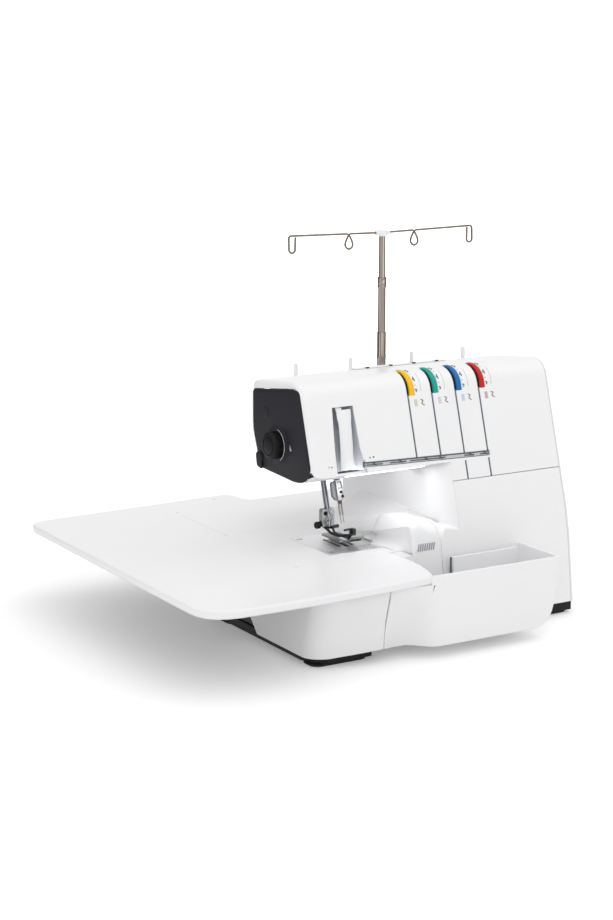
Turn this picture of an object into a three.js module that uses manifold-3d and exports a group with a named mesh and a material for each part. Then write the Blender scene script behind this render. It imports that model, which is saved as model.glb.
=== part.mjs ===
// A household serger (overlock sewing machine) with a slide-on extension table.
// Millimetres, +Z up, the operator stands at -Y, the needles are at the left (-X) end of the arm.
// Working origin: on the floor below the middle of the needle plate. At the end the whole machine
// is moved so that the origin is the middle of the bottom of its bounding box.
import * as THREE from "three";
import { mergeVertices } from "three/addons/utils/BufferGeometryUtils.js";
import Module from "manifold-3d";

const wasm = await Module();
wasm.setup();

// ---------------------------------------------------------------- driving dimensions
const GAP = 0.4; // clearance between neighbouring pieces
const WALL = 2.8; // thickness of the moulded covers
const LEAN = THREE.MathUtils.degToRad(16.3); // backward lean of the front face, needle bar and presser bar
const FACE_Y0 = -116.3; // where the plane of the leaning face would meet the floor
const TOP_SLOPE = 0.116; // fall of the top cover towards the back
const TOP_Z0 = 268.6; // height of the plane of the top cover over the needle plate
const TOP_FILLET = 22; // radius between face and top
const HEAD_LEFT = -64.5;
const HEAD_BACK = 63;
const HEAD_FRONT_BOTTOM = 184.6; // lower edge of the face of the arm
const HEAD_UNDERSIDE = 170;
const BODY_RIGHT = 245;
const BODY_BACK = 124;
const PILLAR_LEFT = 85; // throat wall
const PILLAR_FRONT_LEFT = 102.5; // where the throat wall has turned into the face
const FACE_SEAM = 157.6; // horizontal joint between the upper and lower front covers
const BED_TOP = 89;
const BED_LEFT = -82;
const BED_FRONT = -58;
const BED_BACK = 84;
const COVER_BOTTOM = 13; // lower edge of the white covers
const COVER_RIGHT = 83.2; // right end of the looper cover
const SHELF_Z = 112; // top of the looper cover at its right end
const PLATE = { width: 62, depth: 85, thickness: 3 };
const TABLE = { left: -244, right: 30, thickness: 8.5, wall: 3 };
const NEEDLE_X = 5;
const NEEDLE_TIP = { y: -8, z: 110 };
const PRESSER_X = -3;
const PRESSER_AT = { y: 17.5, z: 139 };
const DIAL_X = [62.5, 92.5, 122.5, 152.5];
const DIAL_RADIUS = 24;
const DIAL_WIDTH = 6;
const SPOOL_X = [11.5, 81.5, 162.5, 232.5];
const STAND_X = 122;
const STAND_Y = 100;
const STAND = { left: -18, right: 262, front: 66, back: 136, bottom: 168, top: 174 };
const GUIDE_Z = 402;
const SHAFT = { y: 10, z: 110, radius: 5 };
const MOTOR = { y: 70, z: 58, radius: 28 };
const MAIN_PULLEY_RADIUS = 24;
const MOTOR_PULLEY_RADIUS = 8;
const PULLEY_X = [208, 218];

// ---------------------------------------------------------------- finishes
const FINISH = {
  white_cover: { color: 0xf1f1f2, roughness: 0.35, metalness: 0 },
  white_table: { color: 0xf0f0f1, roughness: 0.3, metalness: 0 },
  charcoal_cover: { color: 0x3a383d, roughness: 0.45, metalness: 0 },
  black_plastic: { color: 0x232326, roughness: 0.5, metalness: 0 },
  dark_grey_frame: { color: 0x5c5c60, roughness: 0.55, metalness: 0 },
  rubber: { color: 0x1b1b1c, roughness: 0.85, metalness: 0 },
  cast_metal: { color: 0x9b9da0, roughness: 0.5, metalness: 0.9 },
  bright_steel: { color: 0xc9cacc, roughness: 0.22, metalness: 1 },
  needle_plate: { color: 0xa9a9ab, roughness: 0.3, metalness: 1 },
  dark_steel: { color: 0x55555a, roughness: 0.35, metalness: 1 },
  rod_chrome: { color: 0xb9aca2, roughness: 0.2, metalness: 1 },
  guide_wire: { color: 0x8b8178, roughness: 0.3, metalness: 1 },
  lamp_lens: { color: 0xf8fbff, roughness: 0.15, metalness: 0 },
  dial_yellow: { color: 0xf2b90c, roughness: 0.4, metalness: 0 },
  dial_green: { color: 0x129a76, roughness: 0.4, metalness: 0 },
  dial_blue: { color: 0x1c6fc0, roughness: 0.4, metalness: 0 },
  dial_red: { color: 0xd3241c, roughness: 0.4, metalness: 0 },
};

// ---------------------------------------------------------------- solids
const X = new THREE.Vector3(1, 0, 0);
const Y = new THREE.Vector3(0, 1, 0);
const Z = new THREE.Vector3(0, 0, 1);

// A closed three.js geometry as a manifold solid, turned the right way out.
function solidOf(geometry) {
  const flat = geometry.index ? geometry.toNonIndexed() : geometry;
  flat.deleteAttribute("normal");
  flat.deleteAttribute("uv");
  const merged = mergeVertices(flat, 1e-3);
  const build = (triVerts) =>
    new wasm.Manifold(
      new wasm.Mesh({ numProp: 3, vertProperties: merged.attributes.position.array, triVerts }),
    );
  const solid = build(new Uint32Array(merged.index.array));
  if (solid.volume() > 0) return solid;
  return build(new Uint32Array(merged.index.array).reverse());
}

function geometryOf(solid) {
  const mesh = solid.getMesh();
  const indexed = new THREE.BufferGeometry();
  indexed.setAttribute("position", new THREE.BufferAttribute(mesh.vertProperties, mesh.numProp));
  indexed.setIndex(new THREE.BufferAttribute(mesh.triVerts, 1));
  const faceted = indexed.toNonIndexed();
  faceted.computeVertexNormals();
  return faceted;
}

function box(x0, x1, y0, y1, z0, z1) {
  const geometry = new THREE.BoxGeometry(x1 - x0, y1 - y0, z1 - z0);
  geometry.translate((x0 + x1) / 2, (y0 + y1) / 2, (z0 + z1) / 2);
  return solidOf(geometry);
}

// The drawing plane and the extrusion direction for a profile swept along each axis.
const SWEEP = {
  x: new THREE.Matrix4().makeBasis(Y, Z, X),
  y: new THREE.Matrix4().makeBasis(X, Z, Y.clone().negate()),
  z: new THREE.Matrix4(),
};

function sweep(shape, axis, from, to, curveSegments = 5) {
  const options = { depth: to - from, bevelEnabled: false, curveSegments };
  const geometry = new THREE.ExtrudeGeometry(shape, options);
  geometry.translate(0, 0, axis === "y" ? -to : from);
  geometry.applyMatrix4(SWEEP[axis]);
  return solidOf(geometry);
}

function polygon(points) {
  return new THREE.Shape(points.map(([u, v]) => new THREE.Vector2(u, v)));
}

function roundedRectangle(u0, u1, v0, v1, r) {
  const shape = new THREE.Shape();
  shape.absarc(u1 - r, v0 + r, r, -Math.PI / 2, 0);
  shape.absarc(u1 - r, v1 - r, r, 0, Math.PI / 2);
  shape.absarc(u0 + r, v1 - r, r, Math.PI / 2, Math.PI);
  shape.absarc(u0 + r, v0 + r, r, Math.PI, 1.5 * Math.PI);
  return shape;
}

// A round bar from one point to another.
function bar(radius, start, end, segments = 16, endRadius = radius) {
  const along = new THREE.Vector3().subVectors(end, start);
  const geometry = new THREE.CylinderGeometry(endRadius, radius, along.length(), segments);
  geometry.translate(0, along.length() / 2, 0);
  geometry.applyQuaternion(new THREE.Quaternion().setFromUnitVectors(Y, along.clone().normalize()));
  geometry.translate(start.x, start.y, start.z);
  return solidOf(geometry);
}

const at = (x, y, z) => new THREE.Vector3(x, y, z);
const barX = (radius, x0, x1, y, z, segments) => bar(radius, at(x0, y, z), at(x1, y, z), segments);
const barZ = (radius, z0, z1, x, y, segments) => bar(radius, at(x, y, z0), at(x, y, z1), segments);

// A turned profile of [radius, height] points, standing on `base` and pointing along `direction`.
function turned(profile, base, direction, segments = 24) {
  const geometry = new THREE.LatheGeometry(profile.map(([r, h]) => new THREE.Vector2(r, h)), segments);
  geometry.applyQuaternion(new THREE.Quaternion().setFromUnitVectors(Y, direction));
  geometry.translate(base.x, base.y, base.z);
  return solidOf(geometry);
}

// A wire of round section along a smooth curve through the points.
function wire(radius, points, steps, sides = 3) {
  const section = new THREE.Shape();
  section.absarc(0, 0, radius, 0, 2 * Math.PI);
  const curve = new THREE.CatmullRomCurve3(points, false, "centripetal");
  const options = { steps, extrudePath: curve, curveSegments: sides, bevelEnabled: false };
  return solidOf(new THREE.ExtrudeGeometry(section, options));
}

// A solid through outlines of equal point counts, [{ at, outline: [[u, v], ...] }, ...], stacked along
// an axis. Along y the outlines are in X and Z, and `at` counts forwards (-Y).
function loft(sections, axis = "z") {
  const count = sections[0].outline.length;
  const position = sections.flatMap((s) => s.outline.flatMap(([u, v]) => [u, v, s.at]));
  const index = [];
  for (let layer = 0; layer < sections.length - 1; layer++) {
    for (let i = 0; i < count; i++) {
      const a = layer * count + i;
      const b = layer * count + ((i + 1) % count);
      index.push(a, b, b + count, a, b + count, a + count);
    }
  }
  const cap = (outline, first, flip) => {
    const contour = outline.map(([x, y]) => new THREE.Vector2(x, y));
    for (const [a, b, c] of THREE.ShapeUtils.triangulateShape(contour, [])) {
      index.push(first + a, first + (flip ? c : b), first + (flip ? b : c));
    }
  };
  const clockwise = THREE.ShapeUtils.isClockWise(sections[0].outline.map(([x, y]) => ({ x, y })));
  cap(sections[0].outline, 0, !clockwise);
  cap(sections.at(-1).outline, (sections.length - 1) * count, clockwise);
  const geometry = new THREE.BufferGeometry();
  geometry.setAttribute("position", new THREE.Float32BufferAttribute(position, 3));
  geometry.setIndex(index);
  geometry.applyMatrix4(SWEEP[axis]);
  return solidOf(geometry);
}

// A closed outline moved inwards by `d` along the bisectors of its corners.
function inset(outline, d) {
  const turn = THREE.ShapeUtils.area(outline.map(([x, y]) => ({ x, y }))) > 0 ? 1 : -1;
  return outline.map((p, i) => {
    const before = outline.at(i - 1);
    const after = outline[(i + 1) % outline.length];
    const a = new THREE.Vector2(p[0] - before[0], p[1] - before[1]).normalize();
    const b = new THREE.Vector2(after[0] - p[0], after[1] - p[1]).normalize();
    const normal = new THREE.Vector2(-(a.y + b.y), a.x + b.x).normalize();
    const reach = (turn * d) / Math.max(0.4, normal.dot(new THREE.Vector2(-a.y, a.x)));
    return [p[0] + normal.x * reach, p[1] + normal.y * reach];
  });
}

// ---------------------------------------------------------------- the assembly
const machine = new THREE.Group();

function piece(name, solid, finish) {
  const mesh = new THREE.Mesh(geometryOf(solid), new THREE.MeshStandardMaterial(FINISH[finish]));
  mesh.name = name;
  machine.add(mesh);
  return solid;
}

// ---------------------------------------------------------------- shared curves of the casing
const faceY = (z, inset = 0) => FACE_Y0 + z * Math.tan(LEAN) + inset / Math.cos(LEAN);
const topZ = (y, inset = 0) => TOP_Z0 - TOP_SLOPE * y - inset * Math.hypot(1, TOP_SLOPE);

// The fillet's centre is TOP_FILLET inside both the face and the top.
const FILLET_Y =
  (FACE_Y0 +
    TOP_FILLET / Math.cos(LEAN) +
    Math.tan(LEAN) * (TOP_Z0 - TOP_FILLET * Math.hypot(1, TOP_SLOPE))) /
  (1 + TOP_SLOPE * Math.tan(LEAN));
const FILLET_Z = topZ(FILLET_Y, TOP_FILLET);
const TOP_ANGLE = Math.PI / 2 - Math.atan(TOP_SLOPE);

// Face, fillet and top of the upper casing as a profile in Y and Z, `inset` inside the outer skin.
function casingProfile(inset, bottom, back) {
  const shape = new THREE.Shape();
  shape.moveTo(back, bottom);
  shape.lineTo(faceY(bottom, inset), bottom);
  shape.absarc(FILLET_Y, FILLET_Z, TOP_FILLET - inset, Math.PI - LEAN, TOP_ANGLE, true);
  shape.lineTo(back - 9, topZ(back - 9, inset));
  shape.quadraticCurveTo(back, topZ(back, inset), back, topZ(back, inset) - 9);
  return shape;
}

// The lower front is steeper, and runs on from the face at the seam.
const LOWER_FACE = [
  [FACE_SEAM, faceY(FACE_SEAM)],
  [116, -82.3],
  [89, -88],
  [24, -96],
  [COVER_BOTTOM, -97.5],
];

function lowerFaceY(z) {
  for (let i = 1; i < LOWER_FACE.length; i++) {
    const [z0, y0] = LOWER_FACE[i];
    const [z1, y1] = LOWER_FACE[i - 1];
    if (z >= z0) return y0 + ((z - z0) / (z1 - z0)) * (y1 - y0);
  }
  return LOWER_FACE.at(-1)[1];
}

const smooth = (t) => {
  const c = Math.min(1, Math.max(0, t));
  return c * c * (3 - 2 * c);
};

// ---------------------------------------------------------------- base
const PAN_BOTTOM = 2.6;
const PAN_TOP = 12.5;
const panOutline = (d) =>
  polygon([
    [-101 + d, -98],
    [-95 + d, -116 + d],
    [-84, -124 + d],
    [-32 - d, -124 + d],
    [-26 - d, -94 + d],
    [BODY_RIGHT - d, -94 + d],
    [BODY_RIGHT - d, BODY_BACK - d],
    [PILLAR_LEFT, BODY_BACK - d],
    [PILLAR_LEFT - 4, BED_BACK + 2 - d],
    [-101 + d, BED_BACK + 2 - d],
  ]);
piece(
  "base_pan",
  sweep(panOutline(0), "z", PAN_BOTTOM, PAN_TOP).subtract(sweep(panOutline(WALL), "z", PAN_BOTTOM + 3, 20)),
  "black_plastic",
);

const FEET = {
  foot_front_left: [-99, -34, -122, -94],
  foot_front_right: [206, 243, -92, -62],
  foot_rear_left: [-99, -64, 50, 84],
  foot_rear_right: [206, 243, 88, 122],
};
for (const [name, [x0, x1, y0, y1]] of Object.entries(FEET)) {
  piece(name, sweep(roundedRectangle(x0, x1, y0, y1, 10), "z", 0, PAN_BOTTOM - 0.3, 4), "rubber");
}

// ---------------------------------------------------------------- inner frame and drive
const COLUMN = { x0: 104, x1: 113 };
const END_COLUMN = { x0: 225, x1: 233 };
const HOLE = SHAFT.radius + 0.5;
piece(
  "inner_frame",
  box(-78, 236, -74, 80, 6, 12)
    .add(box(90, 236, 78, 116, 6, 12))
    .add(box(COLUMN.x0, COLUMN.x1, -42, 51, 11, 222))
    .add(box(END_COLUMN.x0, END_COLUMN.x1, -42, 51, 11, 200))
    .add(box(-46, COLUMN.x1, 44, 51, 201, 236))
    .add(box(-60, -52, -40, 60, 11, 50))
    .add(box(COLUMN.x0, COLUMN.x1, -26, -14, 220, 254))
    .add(barX(3, 54, 166, FILLET_Y, FILLET_Z, 12))
    .subtract(barX(HOLE, COLUMN.x0 - 5, COLUMN.x1 + 5, SHAFT.y, SHAFT.z, 20))
    .subtract(barX(HOLE, END_COLUMN.x0 - 5, END_COLUMN.x1 + 5, SHAFT.y, SHAFT.z, 20)),
  "cast_metal",
);
piece(
  "main_shaft",
  barX(SHAFT.radius, 94, 252, SHAFT.y, SHAFT.z, 12).add(
    barX(MAIN_PULLEY_RADIUS, PULLEY_X[0], PULLEY_X[1], SHAFT.y, SHAFT.z, 28),
  ),
  "bright_steel",
);

const WHEEL_X = BODY_RIGHT + 2;
piece(
  "handwheel",
  turned(
    [
      ...[[0, 6], [9, 6], [10, 4], [26, 4], [29, 0], [33, 0], [34, 4]],
      ...[[34, 14], [32, 18], [27, 18], [24, 12], [12, 12], [10, 19], [0, 19]],
    ],
    at(WHEEL_X, SHAFT.y, SHAFT.z),
    X,
    32,
  ),
  "white_cover",
);

piece(
  "motor",
  barX(MOTOR.radius, 134, 196, MOTOR.y, MOTOR.z, 20)
    .add(barX(12, 128, 200, MOTOR.y, MOTOR.z, 16))
    .add(box(142, 188, MOTOR.y - 20, MOTOR.y + 20, 12.4, 40)),
  "dark_steel",
);
piece(
  "motor_pulley",
  barX(MOTOR_PULLEY_RADIUS, PULLEY_X[0], PULLEY_X[1], MOTOR.y, MOTOR.z, 16).add(
    barX(3, 200.5, PULLEY_X[1], MOTOR.y, MOTOR.z, 12),
  ),
  "bright_steel",
);

// The belt's outline is two arcs joined by their outer tangents.
function beltOutline(extra) {
  const dy = MOTOR.y - SHAFT.y;
  const dz = MOTOR.z - SHAFT.z;
  const bearing = Math.atan2(dz, dy);
  const spread = Math.acos((MAIN_PULLEY_RADIUS - MOTOR_PULLEY_RADIUS) / Math.hypot(dy, dz));
  const shape = new THREE.Shape();
  const around = bearing - spread + 2 * Math.PI;
  shape.absarc(SHAFT.y, SHAFT.z, MAIN_PULLEY_RADIUS + extra, bearing + spread, around);
  shape.absarc(MOTOR.y, MOTOR.z, MOTOR_PULLEY_RADIUS + extra, bearing - spread, bearing + spread);
  return shape;
}
const BELT_X = [PULLEY_X[0] + 1, PULLEY_X[1] - 1];
piece(
  "drive_belt",
  sweep(beltOutline(2.2), "x", ...BELT_X, 14).subtract(
    sweep(beltOutline(0.7), "x", BELT_X[0] - 1, BELT_X[1] + 1, 14),
  ),
  "rubber",
);

// ---------------------------------------------------------------- upper casing
const SLOT_WIDTH = 1.8;
const SLOT_TOP = 244;
const GUIDE_BAND = { left: -11, right: 154.6, bottom: 177, top: HEAD_FRONT_BOTTOM };

// A slot in the leaning face, cut as a box turned back by the lean.
function faceSlot(x, width, z0, z1, depth) {
  const cut = new THREE.BoxGeometry(width, 2 * depth, (z1 - z0) / Math.cos(LEAN));
  cut.rotateX(-LEAN);
  cut.translate(x, faceY((z0 + z1) / 2), (z0 + z1) / 2);
  return solidOf(cut);
}

// The take-up levers work in a window of the face with a box-shaped lining behind it.
const TAKEUP_WINDOW = polygon([
  [-36, 150],
  [-35, 200],
  [-31, 245],
  [-9, 245],
  [-7.5, 205],
  [-4, 192],
  [3, 150],
]);
const RECESS_BACK = polygon([
  [faceY(250, 2), 250],
  [faceY(250, 17), 250],
  [faceY(180, 17), 180],
  [faceY(180, 15), 180],
  [faceY(247.8, 15), 247.8],
  [faceY(247.8, 2), 247.8],
]);
const RECESS_SIDE = polygon([
  [faceY(250, 2), 250],
  [faceY(250, 17), 250],
  [faceY(180, 17), 180],
  [faceY(180, 2), 180],
]);

let frontCasing = sweep(casingProfile(0, FACE_SEAM + GAP, HEAD_BACK), "x", HEAD_LEFT, BODY_RIGHT - WALL)
  .subtract(sweep(casingProfile(WALL, FACE_SEAM - 5, HEAD_BACK - WALL), "x", HEAD_LEFT - 5, BODY_RIGHT + 5))
  .subtract(box(HEAD_LEFT - 5, BODY_RIGHT + 5, HEAD_BACK - 12, HEAD_BACK + 5, 100, 250))
  .subtract(box(HEAD_LEFT - 5, PILLAR_FRONT_LEFT, -100, HEAD_BACK + 5, 100, GUIDE_BAND.bottom));
for (const x of DIAL_X) {
  frontCasing = frontCasing
    .subtract(box(x - DIAL_WIDTH / 2 - 0.7, x + DIAL_WIDTH / 2 + 0.7, -60, 3, SLOT_TOP - 8, 280))
    .subtract(faceSlot(x, SLOT_WIDTH, 186.5, SLOT_TOP, 1.6));
}
for (const x of DIAL_X.slice(2)) {
  frontCasing = frontCasing.subtract(faceSlot(x, SLOT_WIDTH, FACE_SEAM - 1, 178, 1.6));
}
frontCasing = frontCasing
  .subtract(sweep(TAKEUP_WINDOW, "y", -100, -20))
  .subtract(
    faceSlot(
      (GUIDE_BAND.left + GUIDE_BAND.right) / 2,
      GUIDE_BAND.right - GUIDE_BAND.left,
      GUIDE_BAND.bottom - 0.5,
      GUIDE_BAND.top,
      1.8,
    ),
  )
  .add(sweep(RECESS_BACK, "x", -40, 6))
  .add(sweep(RECESS_SIDE, "x", -40, -37.6))
  .add(sweep(RECESS_SIDE, "x", 3.6, 6));
piece("upper_front_cover", frontCasing, "white_cover");

// The rear cover follows the back of the arm, which slants forward towards the needle bar.
const HEAD_REAR = [
  [HEAD_BACK, 249.5],
  [HEAD_BACK, 210],
  [53.5, 186],
  [50, 173],
];
const rearProfile = polygon([
  ...HEAD_REAR,
  ...HEAD_REAR.slice()
    .reverse()
    .map(([y, z]) => [y - WALL, z]),
]);
const PRESSER_SLOT_X = [-28, -11];
const pillarRear = box(
  PILLAR_LEFT - 4,
  BODY_RIGHT - WALL - GAP,
  HEAD_BACK - WALL,
  HEAD_BACK,
  168,
  249.5,
);
piece(
  "upper_rear_cover",
  sweep(rearProfile, "x", HEAD_LEFT, PILLAR_LEFT - 3)
    .add(pillarRear)
    .subtract(box(...PRESSER_SLOT_X, 40, 70, 178, 212)),
  "white_cover",
);

const CAP = { outer: HEAD_LEFT - 0.7, inner: HEAD_LEFT + 2.1 };

// The underside of the arm, with a chamfer below the face that carries the lamp.
const undersideProfile = polygon([
  [-61, 176.6],
  [-44, HEAD_UNDERSIDE],
  [46.4, HEAD_UNDERSIDE + 2.5],
  [46.4, HEAD_UNDERSIDE + 5.5],
  [-43, HEAD_UNDERSIDE + 3],
  [-59.5, 179.2],
]);
const NEEDLE_AXIS = at(0, Math.sin(LEAN), Math.cos(LEAN)); // upwards and back
const alongNeedle = (s) => at(NEEDLE_X, NEEDLE_TIP.y, NEEDLE_TIP.z).addScaledVector(NEEDLE_AXIS, s);
const beside = (point, dx) => point.add(at(dx, 0, 0));
const alongPresser = (s) => at(PRESSER_X, PRESSER_AT.y, PRESSER_AT.z).addScaledVector(NEEDLE_AXIS, s);
const LAMP = { x0: -18, x1: 76, y0: -56.5, y1: -48 };
const lampBlock = box(LAMP.x0, LAMP.x1, LAMP.y0, LAMP.y1, 160, 190);
piece(
  "arm_underside_cover",
  sweep(undersideProfile, "x", CAP.inner + GAP, PILLAR_LEFT - GAP)
    .subtract(bar(5, beside(alongNeedle(20), -3), beside(alongNeedle(120), -3), 14))
    .subtract(bar(4, alongPresser(0), alongPresser(80), 14))
    .subtract(lampBlock),
  "white_cover",
);
piece(
  "lamp_lens",
  sweep(undersideProfile, "x", LAMP.x0 + GAP, LAMP.x1 - GAP).intersect(
    box(LAMP.x0 + GAP, LAMP.x1 - GAP, LAMP.y0 + GAP, LAMP.y1 - GAP, 160, 190),
  ),
  "lamp_lens",
);

// A bright strip with thread guides in the channel along the lower edge of the face.
const bandProfile = polygon([
  [faceY(GUIDE_BAND.bottom, 0.6), GUIDE_BAND.bottom + 0.5],
  [faceY(GUIDE_BAND.top, 0.6), GUIDE_BAND.top - 0.7],
  [faceY(GUIDE_BAND.top, 1.6), GUIDE_BAND.top - 0.7],
  [faceY(GUIDE_BAND.bottom, 1.6), GUIDE_BAND.bottom + 0.5],
]);
piece(
  "thread_guide_strip",
  sweep(bandProfile, "x", GUIDE_BAND.left + 0.4, GUIDE_BAND.right - 0.4),
  "dark_steel",
);

// The end cap closes the left end of the arm inside a rim of the white covers. A thread cutter stands
// on its lower back corner.
const capProfile = polygon([
  [HEAD_BACK - 4, 252],
  [-27, 264],
  [-34, 262.6],
  [-38, 256],
  [faceY(184, 3.4), 184],
  [-42, 169.4],
  [-27, 167.2],
  [46, 170.4],
  [49, 184],
  [HEAD_BACK - 3.6, 210],
]);
const cutterProfile = polygon([
  [41, 168],
  [50, 170],
  [53, 186],
  [45, 190],
]);
piece(
  "end_cap",
  sweep(capProfile, "x", CAP.outer, CAP.inner)
    .add(sweep(cutterProfile, "x", CAP.outer - 4, CAP.outer + 0.4))
    .subtract(box(CAP.outer - 3, CAP.outer - 1.8, 38, 60, 160, 178)),
  "charcoal_cover",
);
const KNOB = { y: 6.8, z: 201 };
piece(
  "pressure_knob",
  turned(
    [[0, 0.4], [14.4, 0.4], [15, 1.6], [14.8, 8.6], [13.6, 11], [10.8, 11.6], [9.8, 11], [0, 11.2]],
    at(CAP.outer, KNOB.y, KNOB.z),
    X.clone().negate(),
    28,
  ),
  "black_plastic",
);

// ---------------------------------------------------------------- thread path on the arm
const DIAL_COLOURS = ["yellow", "green", "blue", "red"];
DIAL_X.forEach((x, i) => {
  const disc = barX(DIAL_RADIUS, x - DIAL_WIDTH / 2, x + DIAL_WIDTH / 2, FILLET_Y, FILLET_Z, 36);
  const hub = barX(6, x - 6, x + 6, FILLET_Y, FILLET_Z, 16);
  const bore = barX(3.6, x - 9, x + 9, FILLET_Y, FILLET_Z, 12);
  piece(`tension_dial_${i + 1}`, disc.add(hub).subtract(bore), `dial_${DIAL_COLOURS[i]}`);
});
const RAIL = { x0: 54, x1: 172, y0: 48, y1: 57, rise: 3 };
let rail = box(RAIL.x0, RAIL.x1, RAIL.y0, RAIL.y1, topZ(RAIL.y0) + 0.4, topZ(RAIL.y0) + RAIL.rise);
for (const x of DIAL_X) {
  rail = rail.subtract(box(x + 12.6, x + 14.6, RAIL.y0 - 1, RAIL.y0 + 6, 200, 300));
}
piece("thread_guide_rail", rail, "white_cover");

// The take-up guard is a bowed white strip in the window of the face, with the lever behind it.
const guardProfile = polygon([
  [faceY(242, 0.8), 242],
  [faceY(242, 3), 243],
  [faceY(225, 2), 225],
  [faceY(205, 4), 205],
  [faceY(190, 8), 190],
  [faceY(181, 10), 181],
  [faceY(181, 7.8), 180.4],
  [faceY(192, 5), 192],
  [faceY(206, 1.8), 206],
  [faceY(225, -0.4), 225],
]);
piece("takeup_guard", sweep(guardProfile, "x", -27.5, -9.5), "white_cover");
piece(
  "takeup_lever",
  sweep(
    polygon([
      [faceY(243, 5), 243],
      [faceY(243, 9), 244],
      [faceY(222, 14), 222],
      [faceY(222, 11), 219],
    ]),
    "x",
    -20,
    -17,
  ),
  "bright_steel",
);

// ---------------------------------------------------------------- needle and presser assembly
const CLAMP = { x: 2.4, width: 15.6, depth: 7, from: 25.6, to: 47.6 };
piece(
  "needle_bar",
  bar(3.8, beside(alongNeedle(CLAMP.to + 0.5), -3), beside(alongNeedle(106), -3), 16),
  "dark_steel",
);
const clampBlock = new THREE.BoxGeometry(CLAMP.width, CLAMP.depth, CLAMP.to - CLAMP.from);
clampBlock.rotateX(-LEAN);
const clampAt = alongNeedle((CLAMP.from + CLAMP.to) / 2);
clampBlock.translate(CLAMP.x, clampAt.y, clampAt.z);
piece("needle_clamp", solidOf(clampBlock), "bright_steel");
for (const [name, dx] of [["needle_left", -1.4], ["needle_right", 2]]) {
  const shank = bar(0.9, beside(alongNeedle(9), dx), beside(alongNeedle(CLAMP.from - 0.5), dx), 8);
  const blade = bar(0.35, beside(alongNeedle(0), dx), beside(alongNeedle(9.2), dx), 8, 0.9);
  piece(name, shank.add(blade), "bright_steel");
}
piece("presser_bar", bar(3, alongPresser(-25.4), alongPresser(76), 14), "bright_steel");
piece(
  "foot_holder",
  box(-8, 2, 5, 18, 102.4, 124.4)
    .add(box(-8, -2, 17, 22, 102.4, 111))
    .subtract(bar(3.4, alongPresser(-26), alongPresser(0), 14))
    .add(barX(4, -13, -7.5, 18, 107.6, 16)),
  "bright_steel",
);
const footTop = polygon([
  [22, 101.6],
  [2, 101.6],
  [-6, 96],
  [-30, 94],
  [-43, 98.5],
  [-45, 97.5],
  [-33, 91],
  [-28, 89.5],
  [16, 89.5],
  [22, 93],
]);
piece(
  "presser_foot",
  sweep(footTop, "x", -6, 18)
    .subtract(box(1, 10, -60, -2, 80, 110))
    .subtract(box(-8, -1, -60, -20, 80, 110))
    .subtract(box(2.5, 30, 3, 30, 94.5, 110)),
  "bright_steel",
);

// ---------------------------------------------------------------- stitching parts in the bed
const plateTop = BED_TOP;
const plateBottom = BED_TOP - PLATE.thickness;
piece(
  "needle_plate",
  box(-PLATE.width / 2, PLATE.width / 2, -PLATE.depth / 2, PLATE.depth / 2, plateBottom, plateTop)
    .subtract(box(-4.6, -0.6, -16, 18, 80, 92))
    .subtract(box(10.6, 14.6, -16, 18, 80, 92))
    .subtract(box(2.2, 7.8, -20, 17, 80, 92)),
  "needle_plate",
);
piece(
  "feed_dogs",
  box(-4, 14, -10, 14, 76, 82)
    .add(box(-3.9, -1.3, -12, 14, 81, BED_TOP - 0.5))
    .add(box(11.3, 13.9, -12, 14, 81, BED_TOP - 0.5)),
  "dark_steel",
);
piece("upper_knife", box(32.4, 35.4, -20, -4, 70, 102), "bright_steel");
const looperHook = (side) => {
  const shape = new THREE.Shape();
  shape.moveTo(-3 * side, 0);
  shape.lineTo(3 * side, 0);
  shape.lineTo(3.5 * side, 16);
  shape.quadraticCurveTo(5 * side, 22, 16 * side, 25);
  shape.quadraticCurveTo(-1 * side, 28, -3 * side, 16);
  return shape;
};
for (const [name, side, x, y] of [["lower_looper", 1, -16, -24], ["upper_looper", -1, 26, -32]]) {
  const looper = sweep(looperHook(side), "y", -1.2, 1.2, 4).translate([x, y, 46]);
  piece(name, looper.add(bar(3.2, at(x, y - 1, 47), at(x, 50, 47), 12)), "bright_steel");
}

// ---------------------------------------------------------------- bed, throat and lower covers
// The deck between bed and pillar: a rim on its left, then a slope that is steeper to the rear.
const DECK = { left: 38, front: -13.4, back: BED_BACK - 0.5, rimWidth: 13 };
const deckSection = (y, foot, crest, right) => ({
  at: -y,
  outline: [
    [DECK.left, BED_TOP - 1],
    [DECK.left, foot],
    [DECK.left + DECK.rimWidth * 0.3, foot + (crest - foot) * 0.7],
    [DECK.left + DECK.rimWidth, crest],
    [PILLAR_LEFT - 1, right],
    [PILLAR_LEFT - 1, BED_TOP - 1],
  ],
});
const deck = loft(
  [
    deckSection(DECK.back, 90, 97, 119.5),
    deckSection(37, 92, 104, 119),
    deckSection(DECK.front, 100, 117, 118),
  ],
  "y",
);
piece(
  "bed_casing",
  box(BED_LEFT, PILLAR_LEFT - 0.6, BED_FRONT, BED_BACK, 30, BED_TOP)
    .subtract(box(BED_LEFT + WALL, PILLAR_LEFT + 5, BED_FRONT - 5, BED_BACK - WALL, 20, BED_TOP - WALL))
    .subtract(box(-PLATE.width / 2 - GAP, 37, -PLATE.depth / 2 - GAP, PLATE.depth / 2 + GAP, 80, 95))
    .add(deck),
  "white_cover",
);

const TABLE_UNDERSIDE = BED_TOP - TABLE.thickness;
const skirtOutline = polygon([
  [-99, -96],
  [-96.2, -96],
  [-96.2, BED_BACK + 0.4],
  [PILLAR_LEFT - 1, BED_BACK + 0.4],
  [PILLAR_LEFT - 1, BED_BACK + 3.2],
  [-99, BED_BACK + 3.2],
]);
piece(
  "bed_skirt",
  sweep(skirtOutline, "z", PAN_TOP + GAP, TABLE_UNDERSIDE - 0.6),
  "dark_grey_frame",
);

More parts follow.
